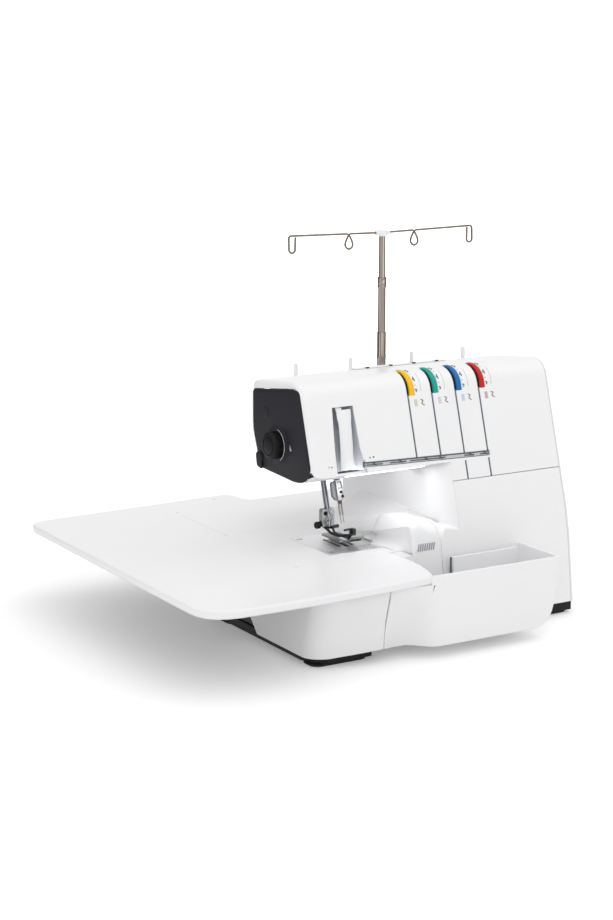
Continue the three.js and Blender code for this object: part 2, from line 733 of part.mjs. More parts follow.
// The throat wall turns from the side of the pillar into the face; its front edge follows the face.
const throatOutline = (z) => {
  const front = z > FACE_SEAM ? faceY(z) : lowerFaceY(z);
  return [
    [PILLAR_FRONT_LEFT - GAP, front + 0.2],
    [PILLAR_LEFT, -56],
    [PILLAR_LEFT, 121],
    [PILLAR_LEFT + WALL, 121],
    [PILLAR_LEFT + WALL, -54.8],
    [PILLAR_FRONT_LEFT - GAP, front + 3.4],
  ];
};
const throatBounds = polygon([
  [121, 90],
  [121, 154],
  [117.5, 159.4],
  [63, 164.6],
  [46, 164.6],
  [46, 184],
  [-58.4, 184],
  [-58.4, GUIDE_BAND.bottom - 0.5],
  [-120, GUIDE_BAND.bottom - 0.5],
  [-120, SHELF_Z - 0.4],
  [-52, SHELF_Z - 0.4],
  [-52, 90],
]);
piece(
  "throat_wall",
  loft([91, 116, FACE_SEAM, 186].map((z) => ({ at: z, outline: throatOutline(z) }))).intersect(
    sweep(throatBounds, "x", 80, 110),
  ),
  "white_cover",
);

// ---------------------------------------------------------------- lower covers of the body
const lowerFront = (inward, top) => {
  const points = LOWER_FACE.filter(([z]) => z < top).map(([z, y]) => [y + inward, z]);
  return [[lowerFaceY(top) + inward, top], ...points];
};
const lowerFrontSkin = (top) => polygon([...lowerFront(0, top), ...lowerFront(WALL, top).reverse()]);
// Left of the pillar the panel ends in a shelf that carries on the line of the looper cover.
const PANEL_LEFT = COVER_RIGHT + 0.6;
const shelfLine = [
  [PANEL_LEFT, SHELF_Z - 1],
  [PILLAR_FRONT_LEFT, SHELF_Z - 3.2],
];
const aboveShelf = polygon([
  ...shelfLine,
  [PILLAR_FRONT_LEFT, 200],
  [PANEL_LEFT - 5, 200],
  [PANEL_LEFT - 5, SHELF_Z - 1],
]);
const shelfSection = polygon([...shelfLine, ...shelfLine.map(([x, z]) => [x, z - 2.4]).reverse()]);
piece(
  "front_panel",
  sweep(lowerFrontSkin(FACE_SEAM - GAP), "x", PANEL_LEFT, BODY_RIGHT - WALL)
    .subtract(sweep(aboveShelf, "y", -120, 0))
    .add(sweep(shelfSection, "y", -82, -53)),
  "white_cover",
);
const rearSkin = polygon([
  [HEAD_BACK - WALL, 165.2],
  [118, 160.2],
  [BODY_BACK, 152],
  [BODY_BACK, COVER_BOTTOM],
  [BODY_BACK - WALL, COVER_BOTTOM],
  [BODY_BACK - WALL, 151],
  [116.6, 157.4],
  [HEAD_BACK - WALL, 162.4],
]);
piece(
  "lower_rear_cover",
  sweep(rearSkin, "x", PILLAR_LEFT + WALL + GAP, BODY_RIGHT - WALL - GAP),
  "white_cover",
);

// The right side is one flat cover from the floor pan to the top.
const sideShape = new THREE.Shape();
sideShape.moveTo(BODY_BACK, COVER_BOTTOM);
sideShape.lineTo(LOWER_FACE.at(-1)[1], COVER_BOTTOM);
for (const [z, y] of LOWER_FACE.slice(0, -1).reverse()) sideShape.lineTo(y, z);
sideShape.absarc(FILLET_Y, FILLET_Z, TOP_FILLET, Math.PI - LEAN, TOP_ANGLE, true);
sideShape.lineTo(HEAD_BACK - 9, topZ(HEAD_BACK - 9));
sideShape.quadraticCurveTo(HEAD_BACK, topZ(HEAD_BACK), HEAD_BACK, topZ(HEAD_BACK) - 9);
sideShape.lineTo(HEAD_BACK, 165.2);
sideShape.lineTo(118, 160.2);
sideShape.lineTo(BODY_BACK, 152);
const SIDE_X = [BODY_RIGHT - WALL + GAP, BODY_RIGHT];
piece(
  "right_side_cover",
  sweep(sideShape, "x", ...SIDE_X)
    .subtract(barX(7, SIDE_X[0] - 5, SIDE_X[1] + 5, SHAFT.y, SHAFT.z, 20))
    .subtract(box(SIDE_X[0] - 5, SIDE_X[1] + 5, 59.6, 84.4, 29.6, 46.4))
    .subtract(box(SIDE_X[0] - 5, SIDE_X[1] + 5, 61.6, 80.4, 57.6, 76.4)),
  "white_cover",
);
piece(
  "power_inlet",
  box(232, BODY_RIGHT + 0.8, 60, 84, 30, 46).subtract(box(236, BODY_RIGHT + 5, 63, 81, 33, 43)),
  "black_plastic",
);
const rockerShape = polygon([
  [62, 58],
  [80, 58],
  [80, 76],
  [62, 76],
]);
piece("power_switch", sweep(rockerShape, "x", 235, BODY_RIGHT + 2), "black_plastic");

// The cover below the left part of the table leans outwards, round its front left corner.
const leftCoverOutline = (front, left, right, d) => {
  const points = [];
  const r = 25 - d;
  for (let i = 0; i <= 6; i++) {
    const a = Math.PI + (i / 6) * (Math.PI / 2);
    points.push([left + 25 + Math.cos(a) * r, front + 25 + Math.sin(a) * r]);
  }
  points.push([-60, front - 3 + d], [right - d, front - 6 + d], [right - d, -60], [left + d, -60]);
  return points;
};
const leftCover = (d) =>
  loft([
    { at: COVER_BOTTOM + (d > 0 ? WALL : 0), outline: leftCoverOutline(-133, -104, -27.6, d) },
    { at: 40, outline: leftCoverOutline(-139, -105, -29.9, d) },
    { at: TABLE_UNDERSIDE - 0.5 + (d > 0 ? 10 : 0), outline: leftCoverOutline(-153, -108, -32.8, d) },
  ]);
const leftCoverSide = polygon([
  [-170, 10],
  [-99, 10],
  [-92, 30],
  [-70, 90],
  [-170, 90],
]);
piece(
  "lower_front_cover",
  leftCover(0)
    .subtract(leftCover(WALL))
    .intersect(sweep(leftCoverSide, "x", -120, -20)),
  "white_cover",
);

// The looper cover: a front wall hinged at its foot, with a hood that reaches back over the bed.
// A section of the hood: its y, its left edge, the heights of the rim's foot and crest, that at the pillar.
const HOOD = { left: 38, rimWidth: 13, wall: 2.6 };
const HOOD_SECTIONS = [
  [-14, 38, 100, 117, 118],
  [-40, 39.6, 107.4, 122.5, 117],
  [-58, 41, 112.6, 125, 116],
  [-80, 43, 117, 121, 111],
  [-100, 43, 107, 112, 104],
];
const hoodOutline = ([, left, foot, crest, right], d) => {
  const points = [];
  for (let i = 0; i <= 5; i++) {
    const a = Math.PI - (i / 5) * (Math.PI / 2);
    points.push([
      left + HOOD.rimWidth + Math.cos(a) * (HOOD.rimWidth - d),
      foot + Math.sin(a) * (crest - foot - d),
    ]);
  }
  points.push([COVER_RIGHT + 2 * d, right - d], [COVER_RIGHT + 2 * d, 60], [left + d, 60]);
  return points;
};
const hood = (d) =>
  loft(
    HOOD_SECTIONS.map((section, i) => ({
      at: -section[0] - (i === 0 ? 2 * d : 0),
      outline: hoodOutline(section, d),
    })),
    "y",
  );
const behindFace = (d) =>
  polygon([[lowerFaceY(130) + d, 130], ...lowerFront(d, 130).slice(1), [20, 13], [20, 130]]);
const hoodShell = hood(0)
  .intersect(sweep(behindFace(0), "x", 30, 90))
  .subtract(hood(HOOD.wall).intersect(sweep(behindFace(HOOD.wall), "x", 30, 90)))
  .subtract(box(30, 90, BED_FRONT - 0.6, 20, 50, BED_TOP + 0.6))
  .subtract(box(30, 90, -79, BED_FRONT - 0.5, 50, 80))
  .subtract(box(30, 90, DECK.front - 0.5, 20, 50, 200));
const COVER_LEFT = -27;
const gripProfile = polygon([
  [lowerFaceY(96) - 1, 96],
  [lowerFaceY(96) + 1, 96],
  [lowerFaceY(104) + 1, 104],
  [lowerFaceY(104) - 1, 104],
]);
const coverWall = sweep(lowerFrontSkin(79), "x", COVER_LEFT, COVER_RIGHT)
  .add(sweep(lowerFrontSkin(100), "x", HOOD.left + 6, COVER_RIGHT))
  .subtract(box(-40, 100, -110, -60, 0, 16));
const hingeBarrel = barX(2.6, COVER_LEFT, COVER_RIGHT, lowerFaceY(22) + 4.6, 22, 10);
const grip = sweep(gripProfile, "x", 47, 63);
piece("looper_cover", hoodShell.add(coverWall).add(hingeBarrel).add(grip), "white_cover");

// The waste tray hangs in front of the covers: deep at the right, tucked under the table at the left.
const TRAY = { wall: 2.5, right: 172, rim: BED_TOP, front: -164.5 };
const trayOutline = (z) => {
  const t = (z - COVER_BOTTOM) / (TRAY.rim - COVER_BOTTOM);
  const tucked = [
    [-27, -139.7],
    [-14, -138.2],
    [-2.7, -138.8],
    [4.5, -143.4],
    [11.8, -151.6],
    [17, -156.6],
    [23, -159.4],
    [32, -160.3],
  ];
  const straight = [
    [-32.5, -160.5],
    [-20, -161.4],
    [-8, -162.3],
    [0, -162.9],
    [7, -163.5],
    [14, -164],
    [22, -164.3],
    [32, -164.5],
  ];
  const s = smooth(t);
  const front = tucked.map(([x, y], i) => [x + (straight[i][0] - x) * t, y + (straight[i][1] - y) * s]);
  const edge = -160.4 - 4.9 * t;
  const back = -101 + 5.5 * t;
  return [...front, [90, edge], [180, edge - 1.2 * t], [180, back], [front[0][0], back]];
};
const trayEnd = (d) => {
  const shape = new THREE.Shape();
  shape.moveTo(-40, COVER_BOTTOM + d);
  shape.lineTo(146 - d, COVER_BOTTOM + d);
  shape.bezierCurveTo(158 - d, COVER_BOTTOM + d, 166 - d, 22 + d, 168 - d, 36);
  shape.lineTo(TRAY.right - d, TRAY.rim + d);
  shape.lineTo(-40, TRAY.rim + d);
  return shape;
};
const TRAY_LEVELS = [COVER_BOTTOM, 32, 51, 70, TRAY.rim + 4];
const trayOuter = loft(TRAY_LEVELS.map((z) => ({ at: z, outline: trayOutline(z) })));
const trayInner = loft(TRAY_LEVELS.map((z) => ({ at: z, outline: inset(trayOutline(z), TRAY.wall) })));
piece(
  "waste_tray",
  trayOuter
    .intersect(sweep(trayEnd(0), "y", -200, 0, 6))
    .subtract(trayInner.intersect(sweep(trayEnd(TRAY.wall), "y", -200, 0, 6)))
    .subtract(box(-40, 200, -130, -60, 84.4, 100).intersect(box(-40, 166, -130, -60, 80, 100)))
    .subtract(box(-40, 17.5, -200, -60, TABLE_UNDERSIDE - 0.6, 100))
    .subtract(box(-40, COVER_RIGHT + 1.4, -108, -60, 17, 100)),
  "white_cover",
);

// ---------------------------------------------------------------- extension table
const tableShape = new THREE.Shape();
tableShape.moveTo(TABLE.left, -132);
tableShape.quadraticCurveTo(TABLE.left, -166.5, TABLE.left + 36, -170);
tableShape.quadraticCurveTo(-100, -174, 13, -163.5);
tableShape.quadraticCurveTo(17, -163.2, 17.2, -159.6);
tableShape.quadraticCurveTo(24, -146, 28, -124);
tableShape.quadraticCurveTo(TABLE.right, -112, TABLE.right, -100);
tableShape.lineTo(TABLE.right, BED_FRONT - 2.4);
tableShape.lineTo(BED_LEFT - GAP, BED_FRONT - 2.4);
tableShape.lineTo(BED_LEFT - GAP, BED_BACK + 2.4);
tableShape.lineTo(PILLAR_LEFT - 1, BED_BACK + 2.4);
tableShape.lineTo(PILLAR_LEFT - 1, BODY_BACK + 4);
tableShape.lineTo(167, BODY_BACK + 4);
tableShape.lineTo(167, 212);
tableShape.quadraticCurveTo(167, 220, 158, 220);
tableShape.lineTo(28, 220);
tableShape.quadraticCurveTo(18, 221, 17, 232);
tableShape.lineTo(15, 246);
tableShape.quadraticCurveTo(14, 258.4, 2, 258.6);
tableShape.lineTo(-222, 250.6);
tableShape.quadraticCurveTo(TABLE.left, 249, TABLE.left, 228);
const TABLE_POCKETS = [
  [-240, -166, -120, 42],
  [-240, -166, 46, 222],
  [-162, -86.5, -160, -4],
  [-162, -86.5, 0, 140],
  [-162, -86.5, 144, 246],
  [-82, -26, -162, -64],
  [-22, 9, -158, -64],
  [-82.5, -3, 90.5, 168],
  [-82.5, -3, 172, 248],
  [1, 80, 90.5, 216],
  [84, 163, 132, 216],
];
let table = sweep(tableShape, "z", TABLE_UNDERSIDE, BED_TOP, 5);
for (const [x0, x1, y0, y1] of TABLE_POCKETS) {
  table = table.subtract(box(x0, x1, y0, y1, TABLE_UNDERSIDE - 5, BED_TOP - TABLE.wall));
}
piece("extension_table", table, "white_table");

// ---------------------------------------------------------------- presser lifter
const LIFTER_X = -20;
piece(
  "presser_lifter",
  sweep(
    polygon([
      [46, 198],
      [46, 192],
      [60, 190],
      [84, 184],
      [96, 186],
      [96, 189],
      [84, 188],
      [62, 196],
    ]),
    "x",
    LIFTER_X - 5,
    LIFTER_X + 5,
  ),
  "white_cover",
);

// ---------------------------------------------------------------- spool stand and thread guides
const standOutline = roundedRectangle(STAND.left, STAND.right, STAND.front, STAND.back, 18);
const standPocket = roundedRectangle(STAND.left + 3, STAND.right - 3, STAND.front + 3, STAND.back - 3, 15);
piece(
  "spool_stand",
  sweep(standOutline, "z", STAND.bottom, STAND.top, 4)
    .subtract(sweep(standPocket, "z", STAND.bottom + 3, STAND.top + 5, 4))
    .add(box(100, 228, 74, 84, 164.9, STAND.bottom + 1)),
  "white_cover",
);
SPOOL_X.forEach((x, i) => {
  piece(
    `spool_pin_${i + 1}`,
    turned(
      [[0, 0], [22, 0], [22, 2.4], [9, 3.2], [5, 12], [2.6, 16], [2.5, 92], [1.2, 95], [0, 95]],
      at(x, STAND_Y, STAND.bottom + 3 + GAP),
      Z,
      16,
    ),
    "white_cover",
  );
});
const ROD = { foot: STAND.bottom + 3 + GAP, lowerTop: 292, middleTop: 353, collar: 342, upperTop: 398 };
piece(
  "rod_lower",
  barZ(4.9, ROD.foot, ROD.lowerTop, STAND_X, STAND_Y, 20)
    .add(barZ(10, ROD.foot, ROD.foot + 6, STAND_X, STAND_Y, 20))
    .subtract(barZ(4.5, ROD.foot + 3, ROD.lowerTop + 1, STAND_X, STAND_Y, 20)),
  "rod_chrome",
);
piece(
  "rod_middle",
  barZ(4.2, 266, ROD.middleTop, STAND_X, STAND_Y, 20)
    .add(barZ(4.9, ROD.collar, ROD.middleTop, STAND_X, STAND_Y, 20))
    .subtract(barZ(3.85, 260, ROD.middleTop + 1, STAND_X, STAND_Y, 20)),
  "rod_chrome",
);
piece("rod_upper", barZ(3.6, 314, ROD.upperTop, STAND_X, STAND_Y, 18), "rod_chrome");

// The thread guide bar is one bent wire rising slightly to both ends, with a long loop at each end and
// an eye between each end and the rod.
const GUIDE = { left: 10.5, right: 234.2, loop: 8, drop: 17.4, eyes: [78.8, 164], reach: 5, wire: 0.85 };
const guideZ = (x) => GUIDE_Z + Math.abs(x - STAND_X) * (x < STAND_X ? 0.022 : 0.013);
const endLoop = (x, side) => {
  const z = guideZ(x);
  const outer = x + side * GUIDE.loop;
  return [
    at(x - side * GUIDE.reach, STAND_Y, guideZ(x - side * GUIDE.reach)),
    at(x, STAND_Y, z + 0.3),
    at(outer - side * 2.4, STAND_Y, z + 0.4),
    at(outer, STAND_Y, z - 3),
    at(outer, STAND_Y - 0.5, z - 13),
    at(x + (side * GUIDE.loop) / 2, STAND_Y - 1, z - GUIDE.drop),
    at(x + side * 0.3, STAND_Y - 1.5, z - 13),
    at(x, STAND_Y - 1.8, z - 2),
  ];
};
const eye = (x) => {
  const z = guideZ(x);
  return [
    at(x - GUIDE.reach, STAND_Y, guideZ(x - GUIDE.reach)),
    at(x - 1.6, STAND_Y, z - 0.2),
    at(x + 0.6, STAND_Y - 0.6, z - 3),
    at(x + 4.4, STAND_Y - 1, z - 12),
    at(x, STAND_Y, z - 17),
    at(x - 4.4, STAND_Y + 1, z - 12),
    at(x - 0.6, STAND_Y + 0.6, z - 3),
    at(x + 1.6, STAND_Y, z - 0.2),
    at(x + GUIDE.reach, STAND_Y, guideZ(x + GUIDE.reach)),
  ];
};
let guide = turned(
  [[0, 0], [4.6, 0], [5.4, 1.4], [5.4, 5.4], [4.6, 6.8], [0, 7]],
  at(STAND_X, STAND_Y, ROD.upperTop + 0.3),
  Z,
  20,
)
  .add(wire(GUIDE.wire, endLoop(GUIDE.left, -1), 20))
  .add(wire(GUIDE.wire, endLoop(GUIDE.right, 1), 20));
const inner = GUIDE.reach - 0.5;
const runs = [
  [GUIDE.left + inner, GUIDE.eyes[0] - inner],
  [GUIDE.eyes[0] + inner, STAND_X],
  [STAND_X, GUIDE.eyes[1] - inner],
  [GUIDE.eyes[1] + inner, GUIDE.right - inner],
];
for (const [x0, x1] of runs) {
  guide = guide.add(bar(GUIDE.wire, at(x0, STAND_Y, guideZ(x0)), at(x1, STAND_Y, guideZ(x1)), 6));
}
for (const x of GUIDE.eyes) {
  guide = guide.add(wire(GUIDE.wire, eye(x), 24));
}
piece("guide_bar", guide, "guide_wire");

// ---------------------------------------------------------------- origin: middle of the bottom of the box
const bounds = new THREE.Box3().setFromObject(machine);
const middle = bounds.getCenter(new THREE.Vector3());
for (const mesh of machine.children) {
  mesh.geometry.translate(-middle.x, -middle.y, -bounds.min.z);
}

export default machine;
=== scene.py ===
"""Looks of a household serger with a slide-on extension table: covers, dials, stitching parts, thread stand.

Lengths are in millimetres in the machine's own frame, whose origin is on the floor below the middle of the
needle plate. Every piece is put into the row frame, in metres, when its mesh is made.
"""

import math

import bmesh
import bpy
import numpy as np
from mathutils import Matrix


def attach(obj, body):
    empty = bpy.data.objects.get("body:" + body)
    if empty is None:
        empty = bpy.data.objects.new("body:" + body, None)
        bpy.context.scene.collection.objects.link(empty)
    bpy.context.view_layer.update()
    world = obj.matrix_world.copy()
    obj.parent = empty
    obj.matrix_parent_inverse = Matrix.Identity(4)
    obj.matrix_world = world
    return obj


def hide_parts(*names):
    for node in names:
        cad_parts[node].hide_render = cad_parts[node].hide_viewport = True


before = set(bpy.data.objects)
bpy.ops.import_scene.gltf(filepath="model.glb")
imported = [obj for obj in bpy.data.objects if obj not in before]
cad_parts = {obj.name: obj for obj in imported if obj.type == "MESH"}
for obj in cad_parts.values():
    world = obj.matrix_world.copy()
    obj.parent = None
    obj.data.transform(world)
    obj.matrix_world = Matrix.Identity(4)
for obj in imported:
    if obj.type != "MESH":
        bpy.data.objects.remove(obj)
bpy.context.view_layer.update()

ORIGIN = np.array([-11.0, -43.788, 0.0])  # the machine's own origin in the row frame, in millimetres
MIX_A, MIX_B, MIX_RESULT = 6, 7, 2  # the sockets of a Mix node that is set to colour


# ---------------------------------------------------------------- shader tools
def socketed(name, inputs, outputs):
    """An empty node group with float or colour inputs and outputs, given as (name, kind, default)."""
    tree = bpy.data.node_groups.new(name, "ShaderNodeTree")
    for label, kind, value in inputs:
        socket = tree.interface.new_socket(label, in_out="INPUT", socket_type="NodeSocket" + kind)
        if value is not None:
            socket.default_value = value
    for label, kind in outputs:
        tree.interface.new_socket(label, in_out="OUTPUT", socket_type="NodeSocket" + kind)
    return tree, tree.nodes.new("NodeGroupInput"), tree.nodes.new("NodeGroupOutput")


def node(tree, kind, links=None, **settings):
    """A node of that kind: links maps its inputs to sockets or values, and settings are its properties."""
    made = tree.nodes.new("ShaderNode" + kind)
    for key, value in settings.items():
        setattr(made, key, value)
    for key, value in (links or {}).items():
        if isinstance(value, bpy.types.NodeSocket):
            tree.links.new(value, made.inputs[key])
        else:
            made.inputs[key].default_value = value
    return made


def moulded_grain():
    """Spark-eroded grain of a moulded cover: Height joins pits and a fine noise; Mottle drifts slowly."""
    tree, come, go = socketed(
        "moulded_grain",
        [("Grain", "Float", 1200.0), ("Drift", "Float", 14.0)],
        [("Height", "Float"), ("Mottle", "Float")],
    )
    place = node(tree, "TexCoord").outputs["Object"]
    fine = node(tree, "TexNoise", {"Vector": place, "Scale": come.outputs["Grain"], "Detail": 2.0})
    slow = node(tree, "TexNoise", {"Vector": place, "Scale": come.outputs["Drift"], "Detail": 3.0})
    pits = node(tree, "TexVoronoi", {"Vector": place, "Scale": come.outputs["Grain"]})
    shares = {0: pits.outputs["Distance"], 1: 0.5, 2: fine.outputs["Fac"]}
    both = node(tree, "Math", shares, operation="MULTIPLY_ADD")
    tree.links.new(both.outputs[0], go.inputs["Height"])
    tree.links.new(slow.outputs["Fac"], go.inputs["Mottle"])
    return tree


def drawn_lines():
    """Lines left on metal by drawing or grinding: noise stretched along one axis by the Stretch vector."""
    tree, come, go = socketed(
        "drawn_lines",
        [("Stretch", "Vector", (1.0, 1.0, 1.0)), ("Scale", "Float", 900.0)],
        [("Height", "Float"), ("Streak", "Float")],
    )
    place = node(tree, "TexCoord").outputs["Object"]
    long = node(tree, "VectorMath", {0: place, 1: come.outputs["Stretch"]}, operation="MULTIPLY")
    fineness = come.outputs["Scale"]
    lines = node(tree, "TexNoise", {"Vector": long.outputs[0], "Scale": fineness, "Detail": 4.0})
    tone = node(tree, "MapRange", {"Value": lines.outputs["Fac"], "From Min": 0.3, "From Max": 0.7})
    tree.links.new(lines.outputs["Fac"], go.inputs["Height"])
    tree.links.new(tone.outputs[0], go.inputs["Streak"])
    return tree


GRAIN = moulded_grain()
LINES = drawn_lines()


def srgb(text):
    """A hex colour as linear RGBA."""
    parts = [int(text[i : i + 2], 16) / 255 for i in (0, 2, 4)]
    return tuple(c / 12.92 if c <= 0.04045 else ((c + 0.055) / 1.055) ** 2.4 for c in parts) + (1.0,)


def shaded(colour, factor):
    """The colour with its three channels times the factor, each at most 1."""
    return tuple(min(1.0, c * factor) for c in colour[:3]) + (1.0,)


def finish_of(name, roughness, metallic=0.0, coat=0.0, ior=1.5):
    """A new material with its Principled shader, whose constant sockets are set here."""
    material = bpy.data.materials.new(name)
    material.use_nodes = True
    tree = material.node_tree
    shader = tree.nodes["Principled BSDF"]
    shader.inputs["Roughness"].default_value = roughness
    shader.inputs["Metallic"].default_value = metallic
    shader.inputs["Coat Weight"].default_value = coat
    shader.inputs["Coat Roughness"].default_value = 0.12
    shader.inputs["IOR"].default_value = ior
    return material, tree, shader


def plastic(
    name, colour, roughness, grain=1200.0, depth=0.00002, spread=0.02, coat=0.0, ior=1.5, glow=0.0
):
    """Moulded plastic: grain as bump, a slow drift in tone and in gloss, and a glow for the lamp's lens."""
    material, tree, shader = finish_of(name, roughness, coat=coat, ior=ior)
    shader.inputs["Emission Color"].default_value = (1, 1, 1, 1)
    shader.inputs["Emission Strength"].default_value = glow
    base = srgb(colour)
    surface = node(tree, "Group", node_tree=GRAIN)
    surface.inputs["Grain"].default_value = grain
    tone = node(tree, "Mix", {"Factor": surface.outputs["Mottle"]}, data_type="RGBA")
    tone.inputs[MIX_A].default_value = shaded(base, 1 - spread)
    tone.inputs[MIX_B].default_value = shaded(base, 1 + spread)
    gloss = node(
        tree,
        "MapRange",
        {"Value": surface.outputs["Mottle"], "To Min": roughness * 0.88, "To Max": roughness * 1.12},
    )
    bump = node(tree, "Bump", {"Height": surface.outputs["Height"], "Distance": depth, "Strength": 0.6})
    tree.links.new(tone.outputs[MIX_RESULT], shader.inputs["Base Color"])
    tree.links.new(gloss.outputs[0], shader.inputs["Roughness"])
    tree.links.new(bump.outputs[0], shader.inputs["Normal"])
    return material


def metal(
    name, colour, roughness, stretch=(1.0, 1.0, 0.04), scale=900.0, depth=0.00001, spread=0.08, edge=0.0
):
    """Worked metal: drawn lines along one axis change its tone, its gloss and its normal a little, and
    painted shade darkens the base colour by `edge` where the surface turns away from the view, standing in
    for the dark reflections a polished tube shows between bright walls."""
    material, tree, shader = finish_of(name, roughness, metallic=1.0)
    base = srgb(colour)
    surface = node(tree, "Group", node_tree=LINES)
    surface.inputs["Stretch"].default_value = stretch
    surface.inputs["Scale"].default_value = scale
    tone = node(tree, "Mix", {"Factor": surface.outputs["Streak"]}, data_type="RGBA")
    tone.inputs[MIX_A].default_value = shaded(base, 1 - spread)
    tone.inputs[MIX_B].default_value = shaded(base, 1 + spread)
    gloss = node(
        tree,
        "MapRange",
        {"Value": surface.outputs["Streak"], "To Min": roughness * 0.8, "To Max": roughness * 1.25},
    )
    bump = node(tree, "Bump", {"Height": surface.outputs["Height"], "Distance": depth, "Strength": 0.5})
    # Painted shade: the base colour is mixed towards a tenth of itself where the surface turns away from the
    # view, by up to `edge`.
    grazing_painted_shade = node(tree, "LayerWeight", {"Blend": 0.35}).outputs["Facing"]
    reach = {"Value": grazing_painted_shade, "From Min": 0.1, "From Max": 0.75, "To Max": edge}
    rim = node(tree, "MapRange", reach)
    dark = node(tree, "Mix", {"Factor": rim.outputs[0]}, data_type="RGBA")
    tree.links.new(tone.outputs[MIX_RESULT], dark.inputs[MIX_A])
    dark.inputs[MIX_B].default_value = shaded(base, 0.1)
    tree.links.new(dark.outputs[MIX_RESULT], shader.inputs["Base Color"])
    tree.links.new(gloss.outputs[0], shader.inputs["Roughness"])
    tree.links.new(bump.outputs[0], shader.inputs["Normal"])
    return material


FINISH = {
    "white_cover": plastic("white_cover", "ebebec", 0.36),
    "white_table": plastic("white_table", "e9e9ea", 0.3, grain=900.0),
    "charcoal_cover": plastic("charcoal_cover", "25242a", 0.46, grain=1500.0, spread=0.05, ior=1.3),
    "black_plastic": plastic("black_plastic", "121214", 0.45, grain=1500.0, spread=0.06, ior=1.32),
    "dark_grey_frame": plastic("dark_grey_frame", "47474b", 0.55, spread=0.05, ior=1.38),
    "rubber": plastic("rubber", "1b1b1c", 0.85, grain=700.0, spread=0.1),
    "cast_metal": metal("cast_metal", "9b9da0", 0.5, stretch=(1.0, 1.0, 1.0), scale=500.0),
    "bright_steel": metal("bright_steel", "c9cacc", 0.2),
    "needle_plate": metal("needle_plate", "ececed", 0.42, stretch=(1.0, 0.03, 1.0)),
    "dark_steel": metal("dark_steel", "55555a", 0.35),
    # edge= on these metals sets painted shade: their base colour darkens where they turn away from the view.
    "rod_chrome": metal("rod_chrome", "a79c92", 0.14, edge=0.8),
    "guide_wire": metal("guide_wire", "7c746b", 0.3, stretch=(0.04, 1.0, 1.0), edge=0.5),
    "lamp_lens": plastic("lamp_lens", "f4f8fb", 0.15, coat=0.5, glow=7.0),
    "edge_steel": metal("edge_steel", "a9abb0", 0.2, edge=0.95),
    "satin_steel": metal("satin_steel", "b4b5b3", 0.34, edge=0.5),
    "needle_steel": metal("needle_steel", "a79f96", 0.25, edge=0.6),
    "bar_bronze": metal("bar_bronze", "6f625c", 0.35, edge=0.6),
    "foot_dark": metal("foot_dark", "4a4b4c", 0.28, edge=0.6),
    "rib_grey": plastic("rib_grey", "b4b5b8", 0.4),
    # grey for painted shade inside the take-up window
    "recess_painted_shade": plastic("recess_painted_shade", "b9bcc3", 0.45),
    "band_metal": metal("band_metal", "74767b", 0.4, stretch=(0.04, 1.0, 1.0)),
    # dark slate: painted shade in the slots, rod grooves and tray gap, and the guide hooks' own grey
    "slot_floor": plastic("slot_floor", "555b66", 0.6, spread=0.05),
    "number_ink": plastic("number_ink", "3a3b40", 0.6, spread=0.05),
    # grey for the knob's printed index, and painted shade on the grip ribs
    "index_print_and_rib_shade": plastic("index_print_and_rib_shade", "a4a5aa", 0.5),
    "mark_olive": plastic("mark_olive", "c9cdb4", 0.6),
    "mark_rose": plastic("mark_rose", "d9c9cc", 0.6),
    "mark_sky": plastic("mark_sky", "bccbe0", 0.6),
    "mark_coral": plastic("mark_coral", "c8a5a0", 0.6),
    "dial_yellow": plastic("dial_yellow", "eebc08", 0.35, spread=0.04, ior=1.38),
    "dial_green": plastic("dial_green", "089c8a", 0.35, spread=0.04, ior=1.38),
    "dial_blue": plastic("dial_blue", "0e68a8", 0.35, spread=0.04, ior=1.38),
    "dial_red": plastic("dial_red", "b81f12", 0.35, spread=0.04, ior=1.38),
}

for node_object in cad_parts.values():
    slots = node_object.data.materials
    finish = next((m.name.split(".")[0] for m in slots if m), None)
    slots.clear()
    slots.append(FINISH.get(finish, FINISH["white_cover"]))


# ---------------------------------------------------------------- mesh tools
def shell(outer, inner, keep=None, loop=False):
    """Points and faces of a closed shell: cell (i, j) of the outer grid where `keep` is true, the same cell
    of the inner grid turned round, and a rim quad on every grid edge with a kept cell on one side only."""
    m, n = outer.shape[:2]
    columns = n if loop else n - 1
    keep = np.ones((m - 1, columns), bool) if keep is None else keep
    framed = np.zeros((m + 1, columns + 2), bool)
    framed[1:-1, 1:-1] = keep
    if loop:
        framed[1:-1, 0], framed[1:-1, -1] = keep[:, -1], keep[:, 0]

    def at(i, j, layer=0):
        """Number of the point at (i, j): layer 0 is the outer grid and layer 1 the inner one."""
        return layer * m * n + i * n + j % n

    i, j = np.nonzero(keep)
    faces = [
        np.stack([at(i, j), at(i, j + 1), at(i + 1, j + 1), at(i + 1, j)], 1),
        np.stack([at(i, j, 1), at(i + 1, j, 1), at(i + 1, j + 1, 1), at(i, j + 1, 1)], 1),
    ]
    above, below = framed[:-1, 1:-1], framed[1:, 1:-1]
    i, j = np.nonzero(below & ~above)
    faces.append(np.stack([at(i, j + 1), at(i, j), at(i, j, 1), at(i, j + 1, 1)], 1))
    i, j = np.nonzero(above & ~below)
    faces.append(np.stack([at(i, j), at(i, j + 1), at(i, j + 1, 1), at(i, j, 1)], 1))
    left, right = framed[1:-1, :-1], framed[1:-1, 1:]
    if loop:
        left, right = left[:, :-1], right[:, :-1]
    i, j = np.nonzero(right & ~left)
    faces.append(np.stack([at(i, j), at(i + 1, j), at(i + 1, j, 1), at(i, j, 1)], 1))
    i, j = np.nonzero(left & ~right)
    faces.append(np.stack([at(i + 1, j), at(i, j), at(i, j, 1), at(i + 1, j, 1)], 1))
    points = np.concatenate([outer.reshape(-1, 3), inner.reshape(-1, 3)])
    quads = np.concatenate(faces)
    used, flat = np.unique(quads, return_inverse=True)
    return points[used], [flat.reshape(quads.shape)]


